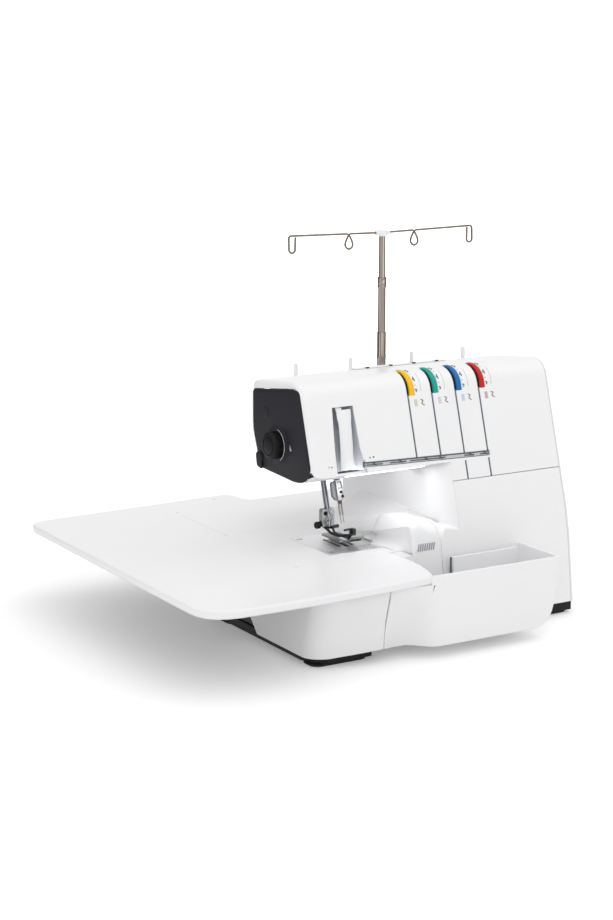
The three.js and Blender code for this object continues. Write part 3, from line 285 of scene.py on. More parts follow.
def stack(rings):
    """A closed solid through k rings of n points, as an array (k, n, 3): quads between neighbouring rings
    and one face on each end."""
    k, n = rings.shape[:2]
    i, j = np.meshgrid(np.arange(k - 1), np.arange(n), indexing="ij")
    i, j = i.ravel(), j.ravel()
    after = (j + 1) % n
    quads = np.stack([i * n + j, i * n + after, (i + 1) * n + after, (i + 1) * n + j], 1)
    ends = [np.arange(n)[::-1][None], (np.arange(n) + (k - 1) * n)[None]]
    return rings.reshape(-1, 3), [quads, *ends]


def prism(outline, axis, start, end):
    """The outline, points in the two other axes in their order, carried straight along `axis`."""
    outline = np.asarray(outline, float)
    rings = np.zeros((2, len(outline), 3))
    rings[:, :, [a for a in range(3) if a != axis]] = outline
    rings[0, :, axis], rings[1, :, axis] = start, end
    return stack(rings)


def block(x0, x1, y0, y1, z0, z1):
    """A box between two limits on each axis."""
    return prism([(x0, y0), (x1, y0), (x1, y1), (x0, y1)], 2, z0, z1)


def turned(profile, base, direction, sides=48, slices=None):
    """A profile of (radius, height) points spun about `direction` from `base`: base + height * direction +
    radius * (cos a, sin a) across it. The radii may vary round the turn by `slices`, one factor a side."""
    profile = np.asarray(profile, float)
    direction = np.asarray(direction, float) / np.linalg.norm(direction)
    first = np.cross(direction, (0, 0, 1) if abs(direction[2]) < 0.9 else (1, 0, 0))
    first /= np.linalg.norm(first)
    second = np.cross(direction, first)
    angle = np.arange(sides) * 2 * np.pi / sides
    factor = np.ones(sides) if slices is None else slices
    spokes = np.cos(angle)[:, None] * first + np.sin(angle)[:, None] * second
    rings = (
        np.asarray(base, float)
        + profile[:, None, 1:2] * direction
        + profile[:, None, 0:1] * factor[:, None] * spokes
    )
    return stack(rings)


def along(points, count):
    """A smooth curve through the points: Catmull-Rom cubics, sampled evenly in their parameter."""
    p = np.asarray(points, float)
    p = np.concatenate([2 * p[:1] - p[1:2], p, 2 * p[-1:] - p[-2:-1]])
    t = np.linspace(0, len(p) - 3, count)
    i = np.minimum(t.astype(int), len(p) - 4)
    f = (t - i)[:, None]
    a, b, c, d = p[i], p[i + 1], p[i + 2], p[i + 3]
    return b + 0.5 * f * (c - a + f * (2 * a - 5 * b + 4 * c - d + f * (3 * (b - c) + d - a)))


def wire(points, radius, sides=12, count=None):
    """A round wire: rings of `radius` across the curve's tangent, in a frame carried along without twist."""
    path = along(points, count) if count else np.asarray(points, float)
    tangent = np.gradient(path, axis=0)
    tangent /= np.linalg.norm(tangent, axis=1)[:, None]
    side = np.zeros_like(path)
    start = np.cross(tangent[0], (0.3, 1.0, 0.2))
    side[0] = start / np.linalg.norm(start)
    for k in range(1, len(path)):
        s = side[k - 1] - tangent[k] * side[k - 1].dot(tangent[k])
        side[k] = s / np.linalg.norm(s)
    other = np.cross(tangent, side)
    angle = np.arange(sides) * 2 * np.pi / sides
    radii = np.broadcast_to(np.asarray(radius, float), (len(path),))[:, None, None]
    rings = path[:, None] + radii * (
        np.cos(angle)[None, :, None] * side[:, None] + np.sin(angle)[None, :, None] * other[:, None]
    )
    return stack(rings)


def join(*parts):
    """Several closed solids as one set of points and faces."""
    points, faces, base = [], [], 0
    for part_points, part_faces in parts:
        points.append(part_points)
        faces += [f + base for f in part_faces]
        base += len(part_points)
    return np.concatenate(points), faces


def moved(part, shift=(0, 0, 0), lean=0.0, about=(0, 0, 0)):
    """The part turned backwards about an X axis through `about` by `lean`, then shifted."""
    points, faces = part
    p = points - np.asarray(about, float)
    c, s = math.cos(lean), math.sin(lean)
    p = np.stack([p[:, 0], c * p[:, 1] + s * p[:, 2], -s * p[:, 1] + c * p[:, 2]], 1)
    return p + np.asarray(about, float) + np.asarray(shift, float), faces


def volume(points, faces):
    """Six times the signed volume of a closed mesh, by fans from each face's first corner."""
    total = 0.0
    for f in faces:
        a = points[f[:, 0]]
        for k in range(1, f.shape[1] - 1):
            total += np.einsum("ij,ij->", a, np.cross(points[f[:, k]], points[f[:, k + 1]]))
    return total


def outward(part):
    """The part with its faces pointing outwards, which makes its signed volume positive."""
    points, faces = part
    return part if volume(points, faces) > 0 else (points, [f[:, ::-1] for f in faces])


def piece(name, part, body, finish, stands_for=(), round_off=0.0, steps=2, sharp=40):
    """A new piece from machine millimetres: it rides on `body` and stands for the nodes named, and its
    sharp edges are rounded by `round_off`."""
    points, faces = part
    mesh = bpy.data.meshes.new(name)
    mesh.from_pydata(((points + ORIGIN) / 1000).tolist(), [], [q for f in faces for q in f.tolist()])
    mesh.validate()
    made = bpy.data.objects.new(name, mesh)
    bpy.context.scene.collection.objects.link(made)
    mesh.materials.append(FINISH[finish])
    return finish_piece(made, body, stands_for, round_off, steps, sharp)


def finish_piece(made, body, stands_for, round_off, steps, sharp):
    """Smooth shading with sharp edges kept and rounded by `round_off`, and the piece's body and nodes."""
    made.data.shade_smooth()
    made.data.set_sharp_from_angle(angle=math.radians(sharp))
    if round_off:
        bevel = made.modifiers.new("rounded_edges", "BEVEL")
        bevel.width = round_off / 1000
        bevel.segments = steps
        bevel.limit_method = "ANGLE"
        bevel.angle_limit = math.radians(sharp)
        bevel.use_clamp_overlap = False
        bevel.harden_normals = True
    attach(made, body)
    if stands_for:
        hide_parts(*([stands_for] if isinstance(stands_for, str) else stands_for))
    return made


def rounded_outline(corners, radius, steps=6):
    """A closed outline with each corner cut back by its radius and rounded by a quadratic curve."""
    p = np.asarray(corners, float)
    r = np.broadcast_to(np.asarray(radius, float), (len(p),))
    before, after = np.roll(p, 1, 0) - p, np.roll(p, -1, 0) - p
    lb, la = np.linalg.norm(before, axis=1), np.linalg.norm(after, axis=1)
    cut = np.minimum(r, 0.45 * np.minimum(lb, la))[:, None]
    a, b = p + before / lb[:, None] * cut, p + after / la[:, None] * cut
    t = np.linspace(0, 1, steps)[None, :, None]
    curve = (1 - t) ** 2 * a[:, None] + 2 * t * (1 - t) * p[:, None] + t**2 * b[:, None]
    return curve.reshape(-1, 2)


def inset(outline, distance):
    """The outline moved inwards: each point goes along the bisector of its two edges, by the distance over
    the cosine of half their turn."""
    p = np.asarray(outline, float)
    before, after = p - np.roll(p, 1, 0), np.roll(p, -1, 0) - p
    before /= np.linalg.norm(before, axis=1)[:, None] + 1e-12
    after /= np.linalg.norm(after, axis=1)[:, None] + 1e-12
    x, y = p.T
    turn = np.sign(np.sum(x * np.roll(y, -1) - np.roll(x, -1) * y))
    normal = np.stack([-(before[:, 1] + after[:, 1]), before[:, 0] + after[:, 0]], 1)
    normal /= np.linalg.norm(normal, axis=1)[:, None] + 1e-12
    reach = np.maximum(0.5, normal[:, 0] * -before[:, 1] + normal[:, 1] * before[:, 0])
    return p + normal * (turn * distance / reach)[:, None]


def slab(outline, low, high, edge, steps=4, axis=2):
    """A plate from `low` to `high` along `axis` with both edges rounded by a quarter circle: its rings lie
    edge * (1 - sin a) from each face and are inset by edge * (1 - cos a)."""
    a = np.linspace(0, np.pi / 2, steps)
    levels = np.concatenate([low + edge * (1 - np.sin(a[::-1])), high - edge * (1 - np.sin(a))])
    insets = np.concatenate([edge * (1 - np.cos(a[::-1])), edge * (1 - np.cos(a))])
    rings = []
    for level, d in zip(levels, insets):
        ring = np.zeros((len(outline), 3))
        ring[:, [k for k in range(3) if k != axis]] = inset(outline, d) if d > 1e-9 else outline
        ring[:, axis] = level
        rings.append(ring)
    return stack(np.array(rings))


# ---------------------------------------------------------------- shape of the body
LEAN = math.radians(16.3)  # backward lean of the face
TAN, COS, SIN = math.tan(LEAN), math.cos(LEAN), math.sin(LEAN)
TOP_SLOPE = 0.116  # fall of the top cover towards the rear
TOP_ANGLE = math.pi / 2 - math.atan(TOP_SLOPE)  # direction of the top cover's normal
FILLET = np.array([-20.6, 248.7])  # y, z of the middle of the rounding between face and top
ROUND = 22.0  # its radius
LEFT, RIGHT, BACK = -64.5, 242.2, 63.0  # ends of the upper front cover
WALL = 2.6  # thickness of the covers
SEAM = 158.0  # height of the seam between the upper and the lower front cover
DIALS = (62.5, 92.5, 122.5, 152.5)  # x of the thread slots, each of which runs up to a tension dial
WHEEL_END, DRUM_END = 8.8, 17.4  # how far right of its slot the opening for a dial's wheel and drum ends


def face_y(z, depth=0.0):
    """y of the leaning face at a height, or of what lies `depth` behind it."""
    return -116.3 + z * TAN + depth / COS


def top_z(y):
    """Height of the top cover."""
    return 268.6 - TOP_SLOPE * y


BAND_END = 154.6  # right end of the thread guide band


def band_rise(x):
    """The guide band runs level at its right end and rises 4 mm to its left end."""
    return 4 * np.clip((BAND_END - x) / 165, 0, 1) * (x > -40)


def face_block(x0, x1, z0, z1, front, back):
    """A block let into the leaning face, between two depths behind it."""
    corners = ((z0, front), (z0, back), (z1, back), (z1, front))
    return prism([(face_y(z, depth), z) for z, depth in corners], 0, x0, x1)


def window_edges(z):
    """x of the left and right edges of the take-up window, which is narrower at its top."""
    left = np.interp(z, [150, 200, 245], [-36, -35, -31])
    right = np.interp(z, [150, 192, 205, 245], [5, -1.5, -4.5, -6])
    return left, right


def casing_rows():
    """The casing's section as rows of y, z and the normal: from the seam up the face, round the fillet,
    back along the top and down a rear edge of radius 9 mm."""
    z = np.array([SEAM, 167, 177, 179, 184.2, 188, 194, 205, 215, 225, 236, 245, 248.5, 251.5], float)
    face = np.stack([face_y(z), z, np.full(len(z), -COS), np.full(len(z), SIN)], 1)
    a = np.linspace(math.pi - LEAN, TOP_ANGLE, 17)
    arc = np.stack([FILLET[0] + ROUND * np.cos(a), FILLET[1] + ROUND * np.sin(a), np.cos(a), np.sin(a)], 1)
    y = np.array([-12, 3, 20, 38, 54], float)
    up = (math.cos(TOP_ANGLE), math.sin(TOP_ANGLE))
    top = np.stack([y, top_z(y), np.full(5, up[0]), np.full(5, up[1])], 1)
    b = np.linspace(TOP_ANGLE, 0, 6)[1:]
    bend = np.stack([54 + 9 * np.cos(b), top_z(54) - 9 + 9 * np.sin(b), np.cos(b), np.sin(b)], 1)
    end = np.array([[BACK, 250.4, 1.0, 0.0]])
    return np.concatenate([face, arc, top, bend, end])


CAP_OUTLINE = rounded_outline(
    [(59, 252), (-27, 264.4), (-36, 262.5), (face_y(184, 3.4), 184), (-42, 169.4), (-27, 167.2), (46, 170.4),
     (49, 184), (59.4, 210)],
    [4, 4, 7, 6, 6, 8, 5, 20, 30],
)


def on_cap_outline(y, z, grown):
    """Where the ray from the middle of the head's end to each (y, z) crosses the cap's outline, grown a
    little: each ray is solved against every edge of the outline, and its nearest hit is kept."""
    middle = np.array([0.0, 215.0])
    a = inset(CAP_OUTLINE, -grown) - middle
    b = np.roll(a, -1, 0)
    ray = np.stack([y, z], 1) - middle

    def cross(u, v):
        """The cross product of two vectors in the plane."""
        return u[..., 0] * v[..., 1] - u[..., 1] * v[..., 0]

    across = cross(ray[:, None], b - a)
    across = np.where(abs(across) < 1e-9, 1e-9, across)
    t = cross(a, b - a) / across
    along_edge = cross(a, ray[:, None]) / across
    hit = np.where((t > 0) & (along_edge >= -1e-6) & (along_edge <= 1 + 1e-6), t, np.inf).min(1)
    return middle + ray * np.where(np.isfinite(hit), hit, 1.0)[:, None]


def casing_columns():
    """x of the casing's columns, and how far each is sunk: the first ones round the left end by 5 mm."""
    marks = [-60, -54, -48, -31, -20, -6, 8, 25, 40, 102.5, 112, 135, 165, 180, 200, 221, RIGHT, BAND_END]
    for x in DIALS:
        marks += [x - 1.0, x + 1.0, x + WHEEL_END, x + DRUM_END]
    turn = np.linspace(0, np.pi / 2, 7)[:-1]
    nominal = np.unique(np.concatenate([LEFT + 5 * (1 - np.cos(turn)), marks]))
    sink = np.concatenate([5 * (1 - np.sin(turn)), np.zeros(len(nominal) - len(turn))])
    return nominal, sink


def casing_cells(cell_x, count):
    """Which cells of the casing are there. Left out are the arm's open underside, the take-up window, the
    guide band and, for each dial, the openings for its wheel and drum and its thread slot."""
    index = np.arange(count)
    keep = np.ones((count, len(cell_x)), bool)

    def cut(rows, columns):
        """Leave out the cells where a chosen row meets a chosen column."""
        keep[rows[:, None] & columns[None]] = False

    lowest = index < 2
    cut(lowest, cell_x < 102.5)
    cut((index < 11) & ~lowest, (cell_x > -31) & (cell_x < -6))
    cut(index == 3, (cell_x > -6) & (cell_x < BAND_END))
    for k, dial in enumerate(DIALS):
        cut((index >= 12) & (index <= 29), (cell_x > dial - 1) & (cell_x < dial + WHEEL_END))
        cut((index >= 13) & (index < 24), (cell_x > dial + WHEEL_END) & (cell_x < dial + DRUM_END))
        slot = (index >= 4) & (index < 12)
        cut(slot | lowest if k > 1 else slot, abs(cell_x - dial) < 1.0)
    keep[:, 0] = False
    return keep


def casing():
    """The upper front cover: the section above carried along X. Its left end turns in round a 5 mm rim to
    the cap, its lower left corner is rounded by 9 mm, and columns beside the take-up window lean along its
    edges."""
    rows = casing_rows()
    y, z, ny, nz = rows.T
    nominal, sink = casing_columns()
    left, right = window_edges(z)
    x = np.repeat(nominal[None], len(rows), 0)
    for edge, start, middle, end in ((left, -48, -31, -20), (right, -20, -6, 25)):
        pull = np.interp(nominal, [start, middle, end], [0, 1, 0])
        x = x + pull[None] * (edge - middle)[:, None]
    corner = 9 - np.sqrt(81 - np.clip(9 - (nominal - LEFT), 0, 8.9) ** 2)
    lift = corner[None] * np.clip(1 - (z - 177) / 28, 0, 1)[:, None] * (z >= 177)[:, None]
    lift = lift + band_rise(nominal)[None] * np.interp(z, [177, 179, 184.2, 194], [0, 1, 1, 0])[:, None]
    yy, zz = np.repeat(y[:, None], x.shape[1], 1) + lift * TAN, z[:, None] + lift
    outer = np.stack([x, yy - ny[:, None] * sink, zz - nz[:, None] * sink], 2)
    inner = outer - WALL * np.stack([np.zeros_like(x), ny[:, None] + 0 * x, nz[:, None] + 0 * x], 2)
    inner[:, :, 0] = np.maximum(inner[:, :, 0], LEFT + 2.2)
    edge = on_cap_outline(outer[:, 0, 1], outer[:, 0, 2], 0.35)
    face_ring = np.stack([np.full(len(rows), LEFT), *edge.T], 1)[:, None]
    back_ring = face_ring + (2.2, 0, 0)
    outer = np.concatenate([back_ring, face_ring, outer], 1)
    inner = np.concatenate([back_ring + (0.6, 0, 0), back_ring + (0.6, 0, 0), inner], 1)
    inner[:, 1, 1:] += 0.6 * rows[:, 2:]
    cell_x = np.concatenate([[LEFT, LEFT], (nominal[1:] + nominal[:-1]) / 2])
    return shell(outer, inner, casing_cells(cell_x, len(rows) - 1))


shell_part = outward(casing())
piece("front_casing", shell_part, "machine", "white_cover", "upper_front_cover", round_off=0.7, steps=3)


# ---------------------------------------------------------------- slots, take-up window and guide band
# Dark slate blocks at the floor of each thread slot: painted shade for the slot's depth.
for k, dial in enumerate(DIALS):
    part = face_block(dial - 1.4, dial + 1.4, 184, 249, 1.3, 2.9)
    if k > 1:
        part = join(part, face_block(dial - 1.4, dial + 1.4, 157.6, 177.6, 1.3, 2.9))
    piece(f"slot_floor_{k + 1}", part, "machine", "slot_floor")


def recess():
    """The scooped lining of the take-up window: across the window its depth is 15 mm times
    (1 - |2u - 1|^2.6)^0.55, and it runs from above the window down to the arm's lower edge."""
    z = np.array([178.5, 184, 190, 197, 205, 215, 228, 240, 247, 249.5])
    left, right = window_edges(z)
    left, right = left - 0.5, right + 0.5
    u = np.linspace(0, 1, 25)
    bowl = (1 - abs(2 * u - 1) ** 2.6) ** 0.55
    depth = np.where(z > 240, 17, 15)[:, None] * bowl[None] + 0.7
    x = left[:, None] + (right - left)[:, None] * u[None]
    outer = np.stack([x, face_y(z[:, None], depth), z[:, None] + 0 * x], 2)
    away = np.stack([1.6 * (2 * u[None] - 1) ** 3 + 0 * x, 1.8 * np.ones_like(x), 0 * x], 2)
    return shell(outer, outer + away)


# The window's lining and roof are grey: painted shade for the dim inside of the take-up window.
piece("takeup_recess", outward(recess()), "machine", "recess_painted_shade", sharp=60)
piece("recess_roof", face_block(-33, -4, 247.5, 249.5, 2.8, 17), "machine", "recess_painted_shade")


def guard():
    """The take-up guard: a strip 17 mm wide with shoulders at its top and a flare at its foot. Its face is
    crowned by 1.2 |u|^3, u from -1 to 1 across it, and it sinks into the recess as it goes down."""
    z = np.array([180.5, 184, 190, 198, 206, 216, 228, 234, 238, 240.5, 241.6])
    middle = np.interp(z, [180, 200, 216, 242], [-16.4, -17.4, -17.4, -17.0])
    half = np.interp(z, [180, 186, 198, 226, 232, 236, 241.6], [9.2, 8.4, 7.9, 7.6, 8.4, 9.2, 8.9])
    depth = np.interp(z, [180, 190, 205, 225, 242], [9.5, 7.4, 3.6, 1.2, 0.9])
    u = np.linspace(-1, 1, 13)
    x = middle[:, None] + half[:, None] * u[None]
    crown = 1.2 * abs(u[None]) ** 3
    outer = np.stack([x, face_y(z[:, None], depth[:, None] + crown), z[:, None] + 0 * x], 2)
    narrow = middle[:, None] + (x - middle[:, None]) * 0.86
    inner = np.stack([narrow, outer[:, :, 1] + 2.2, outer[:, :, 2]], 2)
    return shell(outer, inner)


guard_tabs = [face_block(-25.8, -20.6, 240, 247, 2.4, 4.6), face_block(-25.9, -19.5, 239, 243.4, 1.2, 3.2)]
strip = outward(join(guard(), *guard_tabs))
piece("takeup_strip", strip, "machine", "white_cover", "takeup_guard", round_off=0.8, steps=3)


def band_strip(x0, x1, z0, z1, front, back=2.8):
    """A strip let into the guide band between two depths: it rises to the left as the band does."""
    corners = ((z0, front), (z0, back), (z1, back), (z1, front))
    ends = []
    for x in (x0, x1):
        rise = band_rise(x)
        ends.append([(x, face_y(z + rise, depth), z + rise) for z, depth in corners])
    return outward(stack(np.array(ends)))


channel = [band_strip(-3, 154.4, 178.8, 184.3, 1.7), band_strip(-2, 154, 183.2, 184.0, 0.9)]
piece("guide_channel", join(*channel), "machine", "band_metal", "thread_guide_strip", round_off=0.15, steps=1)
rails = [band_strip(-2, 153.6, 181.6, 182.4, 1.2, 2.0), band_strip(-2, 153.6, 179.4, 180.3, 0.9, 2.0)]
rails += [band_strip(x, x + w, 180.2, 182.6, 0.9, 2.0) for x, w in ((20, 9), (49, 5), (98, 24), (135, 7))]
piece("guide_rails", join(*rails), "machine", "bright_steel", round_off=0.15, steps=1)


def guide_hook(x):
    """A hook on the band: a short wire over its face, given as x, height and depth."""
    path = [(x, 184, 1.4), (x + 2.4, 182, 0.0), (x + 4.6, 179.6, 1.2)]
    points = [(a, face_y(b + band_rise(a), depth), b + band_rise(a)) for a, b, depth in path]
    return outward(wire(points, 0.45, 8, 9))


hooks = [guide_hook(x) for x in (8, 40, 72, 90, 128, 147)]
piece("guide_hooks", join(*hooks), "machine", "slot_floor", sharp=60)


# ---------------------------------------------------------------- tension dials
STROKES = {
    1: [(0.4, 1.6), (1, 2), (1, 0)],
    2: [(0, 1.6), (0.5, 2), (1, 1.6), (0.9, 1.1), (0, 0), (1, 0)],
    3: [(0, 1.8), (0.6, 2), (1, 1.5), (0.4, 1.05), (1, 0.6), (0.6, 0), (0, 0.2)],
    4: [(0.8, 0), (0.8, 2), (0, 0.7), (1, 0.7)],
    5: [(1, 2), (0.1, 2), (0.1, 1.1), (0.8, 1.2), (1, 0.6), (0.6, 0), (0, 0.1)],
    6: [(0.9, 2), (0.2, 1.2), (0, 0.5), (0.5, 0), (1, 0.5), (0.6, 1), (0.1, 0.7)],
    7: [(0, 2), (1, 2), (0.4, 0)],
    8: [(0.5, 1.1), (0.1, 1.6), (0.5, 2), (0.9, 1.6), (0, 0.5), (0.5, 0), (1, 0.5), (0.5, 1.1)],
    9: [(0.9, 1.3), (0.4, 1), (0, 1.5), (0.5, 2), (1, 1.5), (0.8, 0.6), (0.4, 0)],
}


WHEEL_RADIUS, DRUM_RADIUS, GAP_RADIUS = 23.1, 21.8, 20.6
NUMBER_STEP = 38  # degrees round the drum from one number to the next
NUMBER_SIZE = 2.9


def on_drum(x, points, angle):
    """Stroke points (across, up) bent round the drum at that angle: up the stroke is up the drum."""
    p = np.asarray(points, float)
    a = angle - (p[:, 1] - 1) * NUMBER_SIZE / DRUM_RADIUS
    y, z = FILLET[0] + DRUM_RADIUS * np.cos(a), FILLET[1] + DRUM_RADIUS * np.sin(a)
    return np.stack([x + p[:, 0] * NUMBER_SIZE * 0.8, y, z], 1)


def drum_tick(x, angle):
    """A short line across the drum halfway between two numbers."""
    r = DRUM_RADIUS - 0.05
    y, z = FILLET[0] + r * math.cos(angle), FILLET[1] + r * math.sin(angle)
    return wire([(x, y, z), (x + 1.9, y, z)], 0.22, 6)


def drum_numbers(x):
    """The plain numbers 1 to 9 round the drum, with a tick on each side of every one."""
    marks = []
    for number, strokes in STROKES.items():
        angle = math.radians(135 - (number - 4) * NUMBER_STEP)
        marks.append(wire(on_drum(x, strokes, angle), 0.55, 6))
        for side in (-1, 1):
            marks.append(drum_tick(x, angle + side * math.radians(NUMBER_STEP / 2)))
    return join(*marks)


def tension_dial(k, x, colour):
    """A tension dial: a toothed coloured wheel and a white drum with its numbers, which turn about the
    middle of the rounding between face and top, beside a black disc painted in as the shade of a dark gap."""
    body = f"tension_dial_{k + 1}"
    teeth = 1 - 0.006 * (np.arange(144) % 2)
    rim = [(21.8, 0), (22.7, 0.5), (WHEEL_RADIUS, 1.4), (WHEEL_RADIUS, 4.3), (22.7, 5.2), (21.8, 5.7)]
    wheel = turned([(4, 0), *rim, (4, 5.7)], (x + 2.2, *FILLET), (1, 0, 0), 144, teeth)
    piece(f"dial_{colour}_wheel", outward(wheel), body, "dial_" + colour, body, sharp=25)
    # A black disc beside the wheel: painted shade for the dark gap at its left.
    gap_shade = turned([(4, 0), (GAP_RADIUS, 0), (GAP_RADIUS, 2.9), (4, 2.9)], (x - 0.8, *FILLET), (1, 0, 0), 96)
    piece(f"dial_{colour}_gap", outward(gap_shade), body, "black_plastic", sharp=25)
    rim = [(21.5, 0), (DRUM_RADIUS, 0.3), (DRUM_RADIUS, 8.3), (21.5, 8.6)]
    drum = turned([(4, 0), *rim, (4, 8.6)], (x + 8.5, *FILLET), (1, 0, 0), 96)
    piece(f"dial_{colour}_drum", outward(drum), body, "white_cover", sharp=25)
    piece(f"dial_{colour}_numbers", outward(drum_numbers(x + 9.7)), body, "number_ink", sharp=60)


def threading_mark(x, colour):
    """A plain threading mark beside a slot: a small block of colour and a short bent line."""
    patch = face_block(x + 6.4, x + 10.2, 237, 244, -0.12, 0.5)
    piece(f"threading_patch_{colour}", patch, "machine", "mark_" + colour)
    path = [(x + 14.6, 243.6), (x + 17.4, 242.2), (x + 15.6, 239.6), (x + 18.6, 237.4)]
    bent = wire([(px, face_y(pz, -0.1), pz) for px, pz in path], 0.4, 6, 16)
    piece(f"threading_line_{colour}", outward(bent), "machine", "number_ink", sharp=60)


for k, (x, colour) in enumerate(zip(DIALS, ("yellow", "green", "blue", "red"))):
    tension_dial(k, x, colour)
for x, colour in zip(DIALS, ("olive", "rose", "sky", "coral")):
    threading_mark(x, colour)
for name, x, z, colour in (
    ("dot_green_left", -41.5, 187.2, "dial_green"),
    ("dot_red_left", -44.8, 187.4, "mark_coral"),
    ("dot_green_right", 5.2, 192, "dial_green"),
    ("dot_grey_right", 9.6, 192.2, "number_ink"),
):
    dot = turned([(0.9, -0.4), (0.9, 0.15), (0.6, 0.25)], (x, face_y(z), z), (0, -COS, SIN), 16)
    piece(name, outward(dot), "machine", colour)


# ---------------------------------------------------------------- charcoal end cap and pressure knob
KNOB = (6.8, 201)  # y, z of the pressure knob's axis


def cap_plate():
    """The cap: its outline lofted from behind the rim to a face crowned by an edge radius of 1.6 mm."""
    rings = []
    for x, grown in ((-62.3, 0.0), (-64.4, 0.0), (-65.1, -0.5), (-65.6, -1.4), (-65.8, -2.6)):
        ring = inset(CAP_OUTLINE, -grown)
        rings.append(np.column_stack([np.full(len(ring), x), ring]))
    return stack(np.array(rings))


cutter = [(38.5, 169.4), (48.6, 171.4), (50.6, 185), (44, 188.5), (36.5, 185)]
cutter = rounded_outline(cutter, [2, 3, 3, 3, 4])
cap_parts = [
    cap_plate(),
    slab(cutter, -67.4, -65.2, 0.8, axis=0),
    turned([(6.2, 0), (6.2, 0.3), (5.7, 0.45), (0.4, 0.45)], (-65.7, 30.5, 231.7), (-1, 0, 0), 40),
    turned([(20.5, 0), (20.2, 0.7), (19.2, 1.1), (0.4, 1.1)], (-65.7, *KNOB), (-1, 0, 0), 56),
]
cap_parts = [outward(p) for p in cap_parts]
piece("cap_cover", join(*cap_parts), "machine", "charcoal_cover", "end_cap", sharp=50)
# A black strip in the cutter's groove: painted shade for the deep slot.
blade = prism([(36.5, 172), (38.2, 171), (40.6, 186), (38.8, 187)], 0, -67.7, -65.4)
piece("cutter_slit_shade", outward(blade), "machine", "black_plastic", round_off=0.3)
arrow = prism([(-22.6, 199.4), (-18.4, 205.4), (-18.8, 199.0)], 0, -66.2, -65.5)
piece("knob_index", outward(arrow), "machine", "index_print_and_rib_shade", round_off=0.2, steps=1)
ribs = 1 - 0.02 * (np.arange(120) % 4 == 0)
knob = turned(
    [(3, 0.2), (14.2, 0.2), (14.6, 1.0), (14.4, 7.6), (13.8, 9.4), (12.4, 10.4), (10.8, 10.6), (10.2, 10.1),
     (9.8, 9.6), (0.4, 9.6)],
    (-66.8, *KNOB), (-1, 0, 0), 120, ribs,
)
dome = turned([(9.2, 0), (9.2, 0.7), (8.4, 1.1), (5, 1.4), (0.4, 1.5)], (-76.3, *KNOB), (-1, 0, 0), 48)
knob = join(outward(knob), outward(dome))
piece("knob_body", knob, "pressure_knob", "black_plastic", "pressure_knob", sharp=30)
half_turn = np.linspace(math.radians(8), math.radians(150), 30)
arc_y, arc_z = KNOB[0] - 16.6 * np.sin(half_turn), KNOB[1] + 16.6 * np.cos(half_turn)
arc = np.stack([np.full(30, -67.2), arc_y, arc_z], 1)
piece("knob_scale", outward(wire(arc, 0.45, 8)), "machine", "bright_steel", sharp=60)


# ---------------------------------------------------------------- covers carried over from the frame
STAND_Y = 100  # the plane of the spool pins, the rods and the guide bar


def softened(name, body, finish, round_off=0.8, steps=2, sharp=38):
    """A frame solid as a finished cover: a merged copy with flat facets joined and its edges rounded."""
    source = bmesh.new()
    source.from_mesh(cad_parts[name].data)
    bmesh.ops.remove_doubles(source, verts=source.verts, dist=2e-6)
    bmesh.ops.dissolve_limit(source, angle_limit=math.radians(0.6), verts=source.verts, edges=source.edges)
    bmesh.ops.recalc_face_normals(source, faces=source.faces)
    mesh = bpy.data.meshes.new(name + "_finished")
    source.to_mesh(mesh)
    source.free()
    made = bpy.data.objects.new(mesh.name, mesh)
    bpy.context.scene.collection.objects.link(made)
    mesh.materials.clear()
    mesh.materials.append(FINISH[finish])
    return finish_piece(made, body, name, round_off, steps, sharp)


for name, finish, round_off in (
    ("upper_rear_cover", "white_cover", 1.2),
    ("arm_underside_cover", "white_cover", 0.6),
    ("front_panel", "white_cover", 0.8),
    ("lower_rear_cover", "white_cover", 1.2),
    ("right_side_cover", "white_cover", 1.1),
    ("spool_stand", "white_cover", 0.8),
    ("power_inlet", "black_plastic", 0.6),
    ("base_pan", "black_plastic", 0.7),
    ("bed_skirt", "dark_grey_frame", 0.4),
    ("inner_frame", "cast_metal", 0.5),
    ("motor", "dark_steel", 0.5),
):
    softened(name, "machine", finish, round_off)
for corner in ("front_left", "front_right", "rear_left", "rear_right"):
    softened("foot_" + corner, "machine", "rubber", 0.6)
PIN_SLEEVE = [(0.5, 180), (2.3, 180), (2.2, 265.6), (1.8, 266.2), (0.5, 266.2)]
for k, x in enumerate((11.5, 81.5, 162.5, 232.5)):
    softened(f"spool_pin_{k + 1}", "machine", "white_cover", 0.3)
    sleeve = turned(PIN_SLEEVE, (x, STAND_Y, 0), (0, 0, 1), 24)
    piece(f"pin_sleeve_{k + 1}", outward(sleeve), "machine", "white_cover", sharp=50)
softened("waste_tray", "waste_tray", "white_cover", 0.8, 3)
softened("extension_table", "extension_table", "white_table", 2.2, 5, 50)
softened("handwheel", "drive", "white_cover", 0.5)
softened("presser_lifter", "presser_lifter", "white_cover", 1.2, 3)
softened("power_switch", "power_switch", "black_plastic", 0.8)


# ---------------------------------------------------------------- looper cover, deck and throat
BED = 89.0  # height of the bed and of the needle plate's top
PILLAR = 85  # x of the pillar's left side
DOOR_END = 77  # x of the looper cover's right edge
RIM = 14.0  # width of the rim between the hood's left edge and its crest
RIM_OUT = np.array([0, 0.05, 0.18, 0.42, 0.68, 0.84, 0.94, 1.0])  # its profile: share of the width...
RIM_UP = np.array([0, 0.13, 0.36, 0.7, 0.93, 0.985, 1.0, 1.0])  # ...and of the height
# Shares of the way from the rim's edge to the foot of the hollow wall below it, and how far the wall is sunk.
FAN = np.array([1, 0.92, 0.8, 0.62, 0.42, 0.22, 0.1])
HOLLOW = np.interp(FAN, [0, 0.22, 0.5, 0.8, 0.92, 1], [0, 3.6, 5.4, 2.4, -0.6, -6.5])
# Columns of the hood and the deck, as shares of the way from the crest to the right.
HOOD_COLUMNS = np.array([0.1, 0.24, 0.42, 0.6, 0.8, 1.0])
DECK_COLUMNS = np.array([0.1, 0.24, 0.42, 0.6, 0.78, 0.88, 0.94, 1.0])


